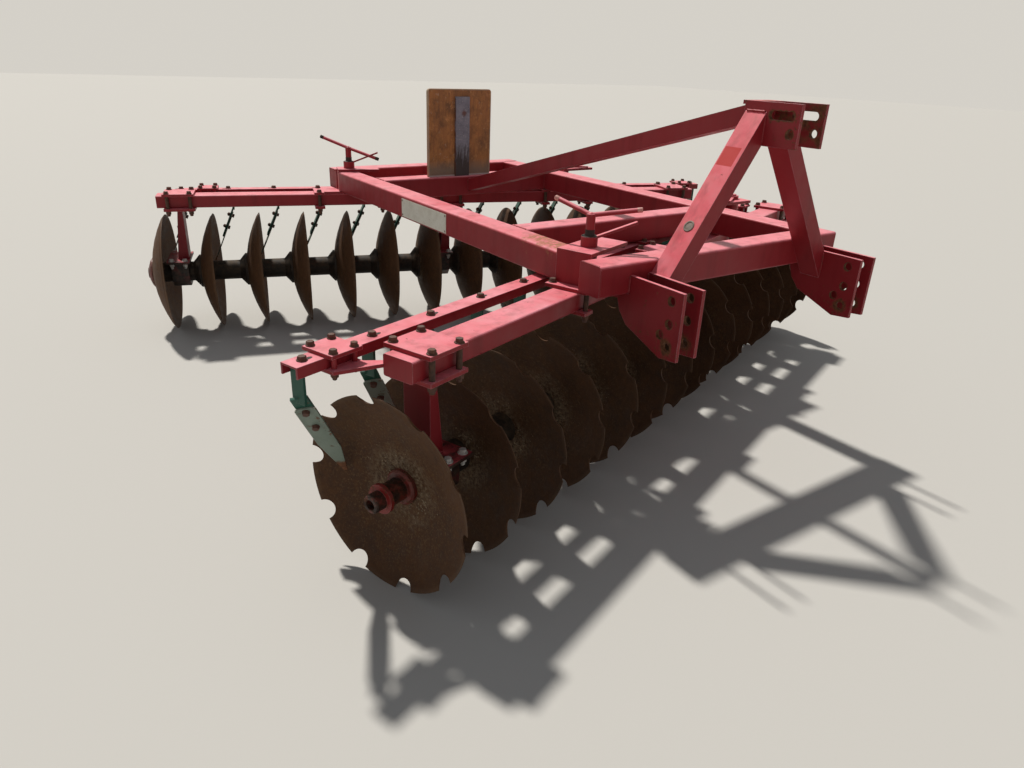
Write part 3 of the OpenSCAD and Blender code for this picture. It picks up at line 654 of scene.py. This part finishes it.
def plywood():
    """Weathered orange-brown plywood: grain, stains, pale worn edges and a white line at the foot."""
    s = Shader("board_wood", 0.65)
    grain = s.noise(9, 8, 0.7, stretch=(9, 9, 0.6))
    fine = s.noise(60, 6, 0.7, stretch=(6, 6, 0.4))
    large = s.noise(6, 5)
    patches = s.noise(30, 9, 0.75)
    colour = s.mix(s.ramp(grain, 0.3, 0.7), WOOD_BROWN, WOOD_ORANGE)
    colour = s.mix(s.ramp(fine, 0.45, 0.8, 0, 0.6), colour, WOOD_GRAIN)
    colour = s.mix(s.ramp(large, 0.50, 0.75, 0, 0.75), colour, WOOD_STAIN)
    colour = s.mix(s.ramp(patches, 0.60, 0.68, 0, 0.8), colour, WOOD_CHIP)
    mottle = s.noise(13, 10, 0.72, stretch=(1.4, 1.4, 1))
    colour = s.mix(s.ramp(mottle, 0.46, 0.64, 0, 0.75), colour, WOOD_MOTTLE)
    colour = s.mix(s.ramp(s.noise(21, 10, 0.75), 0.56, 0.66, 0, 0.65), colour, WOOD_BRIGHT)
    scratch = s.noise(11, 9, 0.8, stretch=(1, 1, 3.2), at=s.tilted())
    colour = s.mix(s.ramp(scratch, 0.63, 0.66, 0, 0.8), colour, WOOD_SCRATCH)
    z = s.part(s.coords, "Z")
    ragged = s.math("ADD", z, s.ramp(patches, 0, 1, -0.03, 0.03))
    grey = s.ramp(ragged, FRAME_TOP * MM + 0.085, FRAME_TOP * MM + 0.03, 0, 0.75)
    colour = s.mix(grey, colour, WOOD_GREY)
    foot = s.ramp(z, FRAME_TOP * MM + 0.009, FRAME_TOP * MM + 0.004)
    colour = s.mix(foot, colour, WOOD_FOOT)
    across = s.math("ABSOLUTE", s.math("SUBTRACT", s.part(s.coords, "X"), spot(BOARD_X, 0, 0).x))
    side = s.math("ADD", across, s.ramp(patches, 0, 1, -0.003, 0.003))
    side = s.ramp(side, (BOARD_W / 2 - 8) * MM, (BOARD_W / 2 - 1) * MM)
    top = s.ramp(z, (FRAME_TOP + BOARD_H - 7) * MM, (FRAME_TOP + BOARD_H - 1) * MM)
    colour = s.mix(s.math("MULTIPLY", s.math("MAXIMUM", side, top), 0.75), colour, WOOD_WORN)
    facing = s.math("ABSOLUTE", s.part(s.normal(), "Y"))
    plies = s.math("SINE", s.math("MULTIPLY", s.part(s.coords, "Y"), TURN / PLY_PITCH))
    layers = s.mix(s.ramp(plies, -1, 1), PLY_DARK, PLY_PALE)
    colour = s.mix(s.ramp(facing, 0.35, 0.2), colour, layers)
    s.colour(colour)
    s.rough(s.ramp(grain, 0.3, 0.7, 0.5, 0.8))
    s.bump(s.math("ADD", fine, grain), 0.0010, 0.8)
    return s.material


def stained_post():
    """Grey painted flat bar, mottled, dark with rust and damp at its foot."""
    s = Shader("post_paint", 0.6)
    z = s.part(s.coords, "Z")
    patches = s.noise(22, 9, 0.7)
    fine = s.noise(120, 8, 0.7)
    colour = s.mix(s.ramp(patches, 0.3, 0.7), POST_GREY, POST_PALE)
    colour = s.mix(s.ramp(fine, 0.55, 0.68, 0, 0.8), colour, POST_FLECK)
    spot_at = s.distance(spot(*POST_SPOT), (1, 0, 1))
    spot_at = s.math("ADD", spot_at, s.ramp(patches, 0.3, 0.7, -0.008, 0.008))
    colour = s.mix(s.ramp(spot_at, 0.018, 0.008, 0, 0.85), colour, POST_RUST)
    ragged = s.math("ADD", z, s.ramp(s.noise(30, 8, 0.7, stretch=(3, 3, 0.5)), 0.3, 0.7, -0.07, 0.07))
    low = s.ramp(ragged, *DAMP_Z, 0, 0.93)
    colour = s.mix(low, colour, POST_DAMP)
    rim = s.ramp(s.part(s.coords, "X"), *[spot(x, 0, 0).x for x in POST_RIGHT_X])
    right = s.math("MULTIPLY", rim, s.ramp(patches, 0.4, 0.55))
    colour = s.mix(right, colour, POST_EDGE)
    s.colour(colour)
    s.bump(s.math("ADD", patches, fine), 0.001, 0.6)
    return s.material


def blank_plate():
    """Off-white plate, weathered, with nothing on it."""
    s = Shader("plate_blank", 0.5)
    patches = s.noise(18, 8, 0.7)
    fine = s.noise(90, 8, 0.7)
    colour = s.mix(s.ramp(patches, 0.42, 0.72, 0, 0.5), PLATE_WHITE, PLATE_YELLOWED)
    colour = s.mix(s.ramp(fine, 0.60, 0.68, 0, 0.7), colour, PLATE_SPECK)
    s.colour(colour)
    s.bump(patches, 0.0003, 0.4)
    return s.material


leg_paint = red("leg_red")
unfaded = leg_marks(leg_paint)
leg_paint.colour(leg_paint.mix(unfaded, leg_paint.paint_colour, UNFADED))

materials = {
    "red_frame": red("red_frame").material,
    "rusty_disc": rusty_disc("front"),
    "dusty_spool": dark_iron("dusty_spool", (0.018, 0.014, 0.012), (0.13, 0.088, 0.055)),
    "axle_steel": paint("axle_steel", (0.20, 0.016, 0.016), (0.30, 0.055, 0.048), 0.47, 0.5).material,
    "green_arm": paint("green_arm", GREEN, (0.03, 0.13, 0.095), 0.62, 0.3).material,
    "blade_steel": paint("blade_steel", (0.17, 0.22, 0.18), (0.32, 0.37, 0.31), 0.60, 0.4,
                         extra=blade_tips).material,
    "board_wood": plywood(),
    "post_paint": stained_post(),
    "plate_blank": blank_plate(),
}
special = {
    "rear_discs": rusty_disc("rear"),
    "headstock_leg_right": leg_paint.material,
    "headstock_cheeks": red("cheek_red", 0.62, cheek_rust).material,
    "hitch_fork_right": red("fork_red", 0.63, fork_rust).material,
}
special["hitch_fork_left"] = special["hitch_fork_right"]
rail_paint = red("rail_red")
scuffed = rail_scuffs(rail_paint)
rail_paint.colour(rail_paint.mix(scuffed, rail_paint.paint_colour, SCUFF))
special["rail_right"] = rail_paint.material
for which in HUB:
    special[which + "_axle"] = axle_look(which)
    hanger = hanger_look(which)
    for number in (1, 2, 3):
        special["%s_hanger_%d" % (which, number)] = hanger
bolt_brown = rusty_metal("bolt_brown", (0.048, 0.018, 0.012), (0.13, 0.052, 0.030))
bolt_bright = rusty_metal("bolt_bright", (0.42, 0.40, 0.37), (0.70, 0.68, 0.64), (0.35, 0.6))
stud_brown = threaded("stud_brown", (0.040, 0.018, 0.012), (0.12, 0.055, 0.030))
slot_dark = rusty_metal("slot_dark", (0.010, 0.005, 0.004), (0.022, 0.010, 0.007))
weld_red = paint("weld_red", RED_DEEP, WELD_FADED_AND_SUNLIT, 0.60, edges=0).material
worn_pink = rusty_metal("worn_pink", (0.50, 0.16, 0.15), (0.62, 0.36, 0.30), (0.4, 0.6))
soil_dry = rusty_metal("soil_dry", (0.13, 0.085, 0.050), (0.32, 0.24, 0.155), (0.85, 0.98))
plug_grey = rusty_metal("plug_grey", (0.12, 0.085, 0.065), (0.30, 0.25, 0.21), (0.5, 0.8))

for entry in frame["record"]["subparts"]:
    target = nodes[entry["node"]]
    chosen = special.get(entry["node"], materials[entry["material_slot"]])
    for material_slot in target.material_slots:
        material_slot.material = chosen


def piece(name, bm, body, material, smooth_under=35):
    """Turn a mesh being built into a piece that rides on a body."""
    bmesh.ops.recalc_face_normals(bm, faces=bm.faces)
    mesh = bpy.data.meshes.new(name)
    bm.to_mesh(mesh)
    bm.free()
    mesh.polygons.foreach_set("use_smooth", [True] * len(mesh.polygons))
    mesh.set_sharp_from_angle(angle=math.radians(smooth_under))
    mesh.materials.append(material)
    made = bpy.data.objects.new(name, mesh)
    bpy.context.scene.collection.objects.link(made)
    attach(made, body)
    return made


def circle(radius, count, turn=0.0):
    """Pairs of X and Y round a circle."""
    angles = [turn + k * TURN / count for k in range(count)]
    return [(radius * math.cos(angle), radius * math.sin(angle)) for angle in angles]


def bridge(bm, low, high):
    """Faces between two closed rings of as many corners."""
    for k in range(len(low)):
        n = (k + 1) % len(low)
        bm.faces.new((low[k], low[n], high[n], high[k]))


def lathe(bm, matrix, profile, segments, turn=0.0):
    """Revolve (radius, height) points about the matrix's Z, closed at radius nought."""
    rings = []
    for radius, height in profile:
        corners = circle(radius, segments, turn) if radius else [(0, 0)]
        rings.append([bm.verts.new(matrix @ Vector((x, y, height))) for x, y in corners])
    for low, high in zip(rings, rings[1:]):
        if len(low) == len(high):
            bridge(bm, low, high)
            continue
        for k in range(segments):
            n = (k + 1) % segments
            if len(low) == 1:
                bm.faces.new((low[0], high[k], high[n]))
            else:
                bm.faces.new((low[k], low[n], high[0]))


def hex_head(bm, matrix, flats, height, washer):
    """Hexagon with a chamfered top on a round washer, standing on the matrix's XY plane."""
    lathe(bm, matrix, [(0, 0), (washer, 0), (washer, 2), (washer - 1, 3), (0, 3)], 24)
    corner = flats / math.sqrt(3)
    sides = [(0, 2.5), (corner, 2.5), (corner, height + 0.5), (corner * 0.88, height + 3), (0, height + 3)]
    lathe(bm, matrix, sides, 6, random.uniform(0, math.pi / 3))


def nut_below(bm, matrix, flats, height, washer, radius, reach):
    """Nut and thread end hanging from the matrix's XY plane."""
    down = matrix @ Matrix.Rotation(math.pi, 4, "X")
    hex_head(bm, down, flats, height, washer)
    tip = height + reach
    lathe(bm, down, [(0, 0), (radius, 0), (radius, tip - 2), (radius - 2, tip), (0, tip)], 14)


def bead(bm, points, radius, ripple=3.0):
    """A run of weld along points in metres, with rippled, uneven thickness."""
    path = []
    for start, end in zip(points, points[1:]):
        count = max(1, int((end - start).length / (ripple * MM)))
        path += [start.lerp(end, k / count) for k in range(count)]
    path.append(points[-1])
    previous = None
    for index, centre in enumerate(path):
        ahead = path[min(index + 1, len(path) - 1)] - path[max(index - 1, 0)]
        frame_turn = ahead.to_track_quat("Z", "Y").to_matrix()
        swell = 0.82 + 0.18 * (index % 2) + random.uniform(-0.10, 0.10)
        if index in (0, len(path) - 1):
            swell = 0.35
        ring = [bm.verts.new(centre + frame_turn @ Vector((x, y, 0)))
                for x, y in circle(radius * MM * swell, 7)]
        if previous:
            bridge(bm, previous, ring)
        else:
            bm.faces.new(ring)
        previous = ring
    bm.faces.new(previous)


def pin_place(which, side):
    """A pivot pin's distance along its gang from the near hub."""
    shift = -BEAM_SHIFT[which] * math.sin(ANGLE[which])
    face = (RIGHT_FACE - PINS_IN[which][0], LEFT_FACE - PINS_IN[which][1])[side]
    return (HUB[which][0] + shift - face) / math.cos(abs(ANGLE[which]))


def on_beam(which, s, y, z):
    """Along the beam from the near hub, whichever way the gang faces."""
    place = Matrix.Translation(spot(*HUB[which], 0)) @ Matrix.Rotation(ANGLE[which], 4, "Z")
    shift = BEAM_SHIFT[which] + y
    return place @ Matrix.Translation((-s * MM, shift * MM, z * MM)) @ Matrix.Scale(MM, 4)


def bar_mounts(which):
    """Where the scraper bar's mounts stand along the gang."""
    arm_x = ARM_X[which]
    near, middle, far = MOUNT_SHIFTS
    return (arm_x / 2 + near,
            -MOUNT_DISCS[0] * DISC_GAP + arm_x / 4 + middle,
            -MOUNT_DISCS[1] * DISC_GAP + far)


def arm_run(which):
    """Length of a scraper's slanted arm in the gang's XZ plane."""
    return math.hypot(ARM_X[which] - TIP[0], ARM_BEND_Z - TIP[2])


def blade_matrix(which, k):
    """Along a scraper's slanted arm: Z up the arm from its tip, X out of the blade's face."""
    rise = math.atan2(ARM_X[which] - TIP[0], ARM_BEND_Z - TIP[2])
    sweep = math.atan2(-TIP[1] - BAR_BACK + BEAM_SHIFT[which], arm_run(which))
    place = GANG[which] @ Matrix.Translation(((TIP[0] - k * DISC_GAP) * MM, TIP[1] * MM, TIP[2] * MM))
    place = place @ Matrix.Rotation(rise, 4, "Y") @ Matrix.Rotation(-sweep, 4, "X")
    return place @ Matrix.Rotation(BLADE_YAW[which], 4, "Z") @ Matrix.Scale(MM, 4)


# Pieces that the solids leave out
def clamp_bolts(which):
    """Long bolts beside the beam, through the hangers' plates and the pivots' straps."""
    bolts = bmesh.new()
    studs = bmesh.new()

    def clamp(place, along, across, reach):
        hex_head(bolts, place(which, along, across, BEAM_TOP + CLAMP_T), *CLAMP_HEAD)
        nut_below(bolts, place(which, along, across, BEAM_BOTTOM - CLAMP_T), *CLAMP_NUT, 8, reach)
        bar = [(STUD_R, 0), (STUD_R, BEAM_TOP - BEAM_BOTTOM)]
        lathe(studs, place(which, along, across, BEAM_BOTTOM), bar, 16)

    for k in HANGER_AFTER:
        for bx in CLAMP_BOLTS:
            for side in (-1, 1):
                x = -k * DISC_GAP - CLAMP_OFF[which] + bx
                clamp(on_gang, x, BEAM_SHIFT[which] + side * CLAMP_SIDE, 12)
    for side_index in (0, 1):
        inner, outer = FOOT_REACH[(which, side_index)]
        s = pin_place(which, side_index)
        for reach in (inner - STRAP_MID, STRAP_MID - outer):
            for side in (-1, 1):
                clamp(on_beam, s + reach, side * CLAMP_SIDE, 14)
    piece(which + "_clamp_bolts", bolts, "frame", bolt_brown)
    piece(which + "_clamp_studs", studs, "frame", stud_brown)


def mount_bolts(which):
    """Bolts of the plates that hold the scraper bar."""
    bolts = bmesh.new()
    half_x, half_y = MOUNT_BOLTS
    for x in bar_mounts(which):
        for bx in (-half_x, half_x):
            for by in (-half_y, half_y):
                y = BEAM_SHIFT[which] - BAR_BACK + by
                hex_head(bolts, on_gang(which, x + bx, y, BEAM_TOP + MOUNT_T), *MOUNT_HEAD)
                nut_below(bolts, on_gang(which, x + bx, y, BEAM_TOP - BAR_H - MOUNT_T), *MOUNT_NUT, 6, 10)
    piece(which + "_mount_bolts", bolts, "frame", bolt_brown)


def scraper_bolts(which):
    """Bolts of the scrapers' arms and blades, and near-black ovals on the bar painted as the shade in its
    slots.
    """
    bolts = bmesh.new()
    slot_shade = bmesh.new()
    y = BEAM_SHIFT[which] - BAR_BACK
    for k in range(DISC_COUNT):
        x = -k * DISC_GAP + ARM_X[which] - ARM_BOLT_IN
        hex_head(bolts, on_gang(which, x, y, BEAM_TOP), *SCRAPER_HEAD)
        nut_below(bolts, on_gang(which, x, y, BEAM_TOP - BAR_T - ARM_T), *SCRAPER_NUT, 6, 8)
        # Near-black flat ovals on the bar's top stand in for the shade seen through its slots
        stretch = Matrix.Diagonal((BAR_SLOT_STRETCH, 1, 1, 1))
        long_hole = on_gang(which, x - BAR_SLOT_IN, y, BEAM_TOP) @ stretch
        lathe(slot_shade, long_hole, [(0, 0.5), (BAR_SLOT_R, 0.5), (BAR_SLOT_R, -0.5)], 24)
        blade = blade_matrix(which, k)
        for down in BLADE_BOLTS:
            up = arm_run(which) - down
            out = blade @ Matrix.Translation((BLADE_T, 0, up)) @ Matrix.Rotation(QUARTER, 4, "Y")
            hex_head(bolts, out, *BLADE_HEAD)
            back = blade @ Matrix.Translation((-ARM_T, 0, up)) @ Matrix.Rotation(QUARTER, 4, "Y")
            nut_below(bolts, back, *BLADE_NUT, 5, 6)
    piece(which + "_scraper_bolts", bolts, "frame", bolt_brown)
    piece(which + "_bar_slot_shade", slot_shade, "frame", slot_dark)


def flange_bolts(which):
    """Bolts of the hangers' feet, through the flange into the housing."""
    bolts = bmesh.new()
    half_x, half_y = FLANGE_BOLTS
    for k in HANGER_AFTER:
        for bx in (-half_x, half_x):
            for by in (-half_y, half_y):
                x = -k * DISC_GAP + FLANGE_X + bx
                hex_head(bolts, on_gang(which, x, by, DISC_R[which] + FLANGE_TOP), *FLANGE_HEAD)
                nut_below(bolts, on_gang(which, x, by, DISC_R[which] + FLANGE_UNDER), *FLANGE_NUT, 7, 14)
    piece(which + "_flange_bolts", bolts, "frame", bolt_bright)


def hanger_welds(which):
    """Welds of the hangers' posts, housings and gussets."""
    welds = bmesh.new()

    def line(radius, *points):
        bead(welds, [on_gang(which, *p).translation for p in points], radius)

    foot_z = DISC_R[which] + FLANGE_TOP + 2
    for k in HANGER_AFTER:
        x = -k * DISC_GAP
        for z in (BEAM_BOTTOM - CLAMP_T - 2, foot_z):
            for px in POST_PLATES:
                line(POST_FILLET, (x + px, -POST_HALF, z), (x + px, POST_HALF, z))
        for side in (-1, 1):
            y = side * HOUSING_HALF
            z = DISC_R[which] + FLANGE_UNDER - 2
            line(FILLET, *[(x + FLANGE_X + dx, y, z) for dx in (-HOUSING_WELD, HOUSING_WELD)])
            line(FILLET, *[(x + dx, side * GUSSET_Y, foot_z) for dx in GUSSET_X])
    piece(which + "_hanger_welds", welds, "frame", weld_red, 60)


def hub_soil(which):
    """Dry soil caked round the hubs, turning with the gang."""
    soil = bmesh.new()
    for k in range(DISC_COUNT):
        turn = SOIL_FIRST_TURN if k == 0 else random.uniform(0, math.pi)
        for _ in range(SOIL_LUMPS):
            radius = random.choice([random.uniform(SOIL_START, end) for end in (SOIL_NEAR, SOIL_FAR)])
            angle = turn + random.choice((0, math.pi)) + random.gauss(0, SOIL_SPREAD)
            rim = DISC_R[which]
            lift = max(0, DISC_DISH * (radius ** 2 - DISC_FLAT ** 2) / (rim ** 2 - DISC_FLAT ** 2))
            size = random.uniform(*SOIL_LUMP_R) * (1 if radius < SOIL_NEAR else SOIL_FAR_SHRINK)
            at = on_gang(which, -k * DISC_GAP + lift + DISC_T / 2, radius * math.cos(angle),
                         rim + radius * math.sin(angle))
            squash = Matrix.Diagonal((0.6, random.uniform(0.7, 1.3), random.uniform(0.7, 1.3), 1))
            bmesh.ops.create_icosphere(soil, subdivisions=1, radius=size, matrix=at @ squash)
    piece(which + "_hub_soil", soil, which + "_gang", soil_dry, 60)


for which in HUB:
    clamp_bolts(which)
    mount_bolts(which)
    scraper_bolts(which)
    flange_bolts(which)
    hanger_welds(which)
    hub_soil(which)

# Welds of the frame and the headstock
welds = bmesh.new()


def run(radius, *points):
    """A run of weld along points of the frame."""
    bead(welds, [spot(*p) for p in points], radius)


def upright(radius, x, y, short):
    """A run of weld down a corner between two tubes."""
    run(radius, (x, y, FRAME_TOP - short), (x, y, FRAME_BOTTOM + short))


for y in (MIDDLE_Y, BOARD_Y):
    for x, out in ((LEFT_FACE + TUBE_W, 1), (RIGHT_FACE - TUBE_W, -1)):
        run(FILLET, (x, y - SHORT, WELD_Z), (x, y - TUBE_W + SHORT, WELD_Z))
        for dy in (1, -TUBE_W - 1):
            upright(FILLET, x + out * 2, y + dy, SHORT)
for x in (LEFT_FACE, RIGHT_FACE - TUBE_W):
    run(FILLET, (x + SHORT, REAR_Y, WELD_Z), (x + TUBE_W - SHORT, REAR_Y, WELD_Z))
corner_x = LEFT_FACE + TUBE_W + 1
upright(FILLET, corner_x, REAR_Y, SHORT)
run(FILLET, (LEFT_FACE + SHORT, -TUBE_W, WELD_Z), (LEFT_FACE + TUBE_W - SHORT, -TUBE_W, WELD_Z))
upright(FILLET, corner_x, -TUBE_W, SHORT)
cap_x = RIGHT_FACE + 2
run(THIN_FILLET, (cap_x, -CAP_SHORT, WELD_Z), (cap_x, CAP_SHORT - TUBE_W, WELD_Z))
upright(THIN_FILLET, cap_x, -1, CAP_SHORT)

leg_end = FORK_X - FORK_W / 2
leg_half = CHEEK_W / 2
stay_y = BOARD_Y + 1
for side in (-1, 1):
    x_cheek = HITCH_X + side * (leg_half + 1)
    run(FILLET, *[(x_cheek, LEG_D, z) for z in LEG_ON_CHEEK_Z])
    run(FILLET, (x_cheek, 4, LEG_TOP_Z), (x_cheek, LEG_D - 4, LEG_TOP_Z))
    x_fork = HITCH_X + side * (leg_end - 1)
    run(FILLET, *[(x_fork, LEG_D, z) for z in LEG_ON_FORK_Z])
    run(FILLET, *[(HITCH_X + side * x, -3, WELD_Z) for x in LEG_ON_BEAM_X])
    for ear in (-1, 1):
        for face in (-1, 1):
            x = HITCH_X + side * FORK_X + ear * (FORK_W - PLATE_T) / 2 + face * (PLATE_T / 2 + 1)
            run(THIN_FILLET, (x, 1, FORK_TOP_Z), (x, 1, FRAME_BOTTOM + 4))
    x = HITCH_X + side * STAY_HALF
    run(THIN_FILLET, *[(x, stay_y, z) for z in STAY_FOOT_Z])
    run(THIN_FILLET, *[(x, y, STAY_TOP_Z) for y in STAY_TOP_Y])
run(THIN_FILLET, *[(HITCH_X + x, stay_y, STAY_FOOT_TOP) for x in (-STAY_FOOT_HALF, STAY_FOOT_HALF)])
for which in HUB:
    for side_index in (0, 1):
        for z in (FRAME_BOTTOM + JAW_T + 2, FRAME_TOP - 2):
            centre = on_beam(which, pin_place(which, side_index), 0, 0).translation
            ring = [centre + Vector((x, y, z * MM)) for x, y in circle(SLEEVE_R * MM, 20)]
            bead(welds, ring + ring[:1], FILLET)
piece("frame_welds", welds, "frame", weld_red, 60)

# Worn ends of the handles on the right pivots, and the bands under them
for which, look in (("front", worn_pink), ("rear", slot_dark)):
    ends = bmesh.new()
    pin = pin_place(which, 0)
    top = on_beam(which, pin, 0, FRAME_TOP + JAW_T + HANDLE_UP)
    for turn, rise, length in HANDLE_ARMS[which]:
        arm = top @ Matrix.Rotation(math.radians(turn), 4, "Z")
        arm = arm @ Matrix.Rotation(math.radians(90 - rise), 4, "Y")
        arm = arm @ Matrix.Translation((0, 0, length - HANDLE_WORN))
        end = HANDLE_WORN + 2
        lathe(ends, arm, [(8, 0), (8.6, 1), (8.6, HANDLE_WORN), (7, end), (0, end)], 18)
    piece(which + "_handle_ends", ends, "frame", look)
    band = bmesh.new()
    collar = on_beam(which, pin, 0, FRAME_TOP + JAW_T + BAND_UP)
    lathe(band, collar, [(0, 0), (27, 0), (27, 1), (17, 3), (17, 6), (15.8, 7), (15.8, 22), (0, 23)], 28)
    piece(which + "_pin_band", band, "frame", slot_dark)

# Plug in the right leg's outer face
plug_x = HITCH_X + leg_half + (CHEEK_TOP - LEG_TOP_DROP - PLUG_Z) * math.tan(LEG_LEAN)
face = on_frame(plug_x, LEG_D / 2, PLUG_Z) @ Matrix.Rotation(QUARTER - LEG_LEAN, 4, "Y")
plug = bmesh.new()
lathe(plug, face, [(0, 0.4), (13, 0.4), (14.5, 2.2), (17, 2.6), (19, 1.6), (19.5, 0)], 36)
piece("leg_plug", plug, "frame", plug_grey)

# Rivets of the name plate
rivets = bmesh.new()
for y in PLATE_RIVETS_Y:
    for z in PLATE_RIVETS_Z:
        head = on_frame(RIGHT_FACE + 1.5, y, z) @ Matrix.Rotation(QUARTER, 4, "Y")
        lathe(rivets, head, [(4.5, 0), (4.2, 1.2), (2.6, 2.1), (0, 2.4)], 16)
piece("plate_rivets", rivets, "frame", plug_grey)

# Board with rounded corners and eased edges
outline = []
half = BOARD_W / 2
for cx, start in ((half - BOARD_CORNER, 0), (BOARD_CORNER - half, 90)):
    for step in range(BOARD_CORNER_STEPS + 1):
        angle = math.radians(start + step * 90 / BOARD_CORNER_STEPS)
        outline.append((cx + BOARD_CORNER * math.cos(angle),
                        BOARD_H - BOARD_CORNER + BOARD_CORNER * math.sin(angle)))
foot = half - BOARD_FOOT_EASE
outline += [(-half, BOARD_FOOT_EASE), (-foot, 0), (foot, 0), (half, BOARD_FOOT_EASE)]
wood = bmesh.new()
layers = []
for depth, pull in ((0, BOARD_EASE), (BOARD_EASE, 0), (BOARD_T - BOARD_EASE, 0), (BOARD_T, BOARD_EASE)):
    ring = []
    for x, z in outline:
        tug = Vector((x, z - BOARD_H / 2))
        tug -= tug.normalized() * pull
        place = spot(BOARD_X + tug.x, BOARD_Y - BOARD_GAP - depth, FRAME_TOP + BOARD_H / 2 + tug.y)
        ring.append(wood.verts.new(place))
    layers.append(ring)
for near, far in zip(layers, layers[1:]):
    bridge(wood, near, far)
wood.faces.new(layers[0])
wood.faces.new(layers[-1])
board = piece("board_panel", wood, "frame", materials["board_wood"], 25)
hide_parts("board")

# Floor and soft studio light
bpy.ops.mesh.primitive_plane_add(size=80, location=(0, 0, 0))
floor = bpy.context.object
floor.name = "floor"
floor_look = Shader("floor_pale", 0.9)
floor_look.colour(FLOOR_COLOUR)
floor.data.materials.append(floor_look.material)

world = bpy.context.scene.world or bpy.data.worlds.new("world")
bpy.context.scene.world = world
world.use_nodes = True
tree = world.node_tree
sky = tree.nodes["Background"]
sky.inputs["Color"].default_value = (*SKY_COLOUR, 1)
sky.inputs["Strength"].default_value = SKY_LEVEL
seen = tree.nodes.new("ShaderNodeBackground")
seen.inputs["Color"].default_value = (*BACKDROP_COLOUR, 1)
rays = tree.nodes.new("ShaderNodeLightPath")
direct = rays.outputs["Is Camera Ray"]
for kind in ("Is Glossy Ray", "Is Transmission Ray"):
    most = tree.nodes.new("ShaderNodeMath")
    most.operation = "MAXIMUM"
    tree.links.new(direct, most.inputs[0])
    tree.links.new(rays.outputs[kind], most.inputs[1])
    direct = most.outputs[0]
either = tree.nodes.new("ShaderNodeMixShader")
tree.links.new(direct, either.inputs[0])
tree.links.new(sky.outputs[0], either.inputs[1])
tree.links.new(seen.outputs[0], either.inputs[2])
tree.links.new(either.outputs[0], tree.nodes["World Output"].inputs["Surface"])

sun_data = bpy.data.lights.new("key", "SUN")
sun_data.energy = SUN_LEVEL
sun_data.angle = SUN_ANGLE
sun_data.color = SUN_COLOUR
sun = bpy.data.objects.new("key", sun_data)
sun.rotation_euler = Vector(SUN_FROM).to_track_quat("Z", "Y").to_euler()
bpy.context.scene.collection.objects.link(sun)

bpy.context.scene.view_settings.view_transform = "Standard"
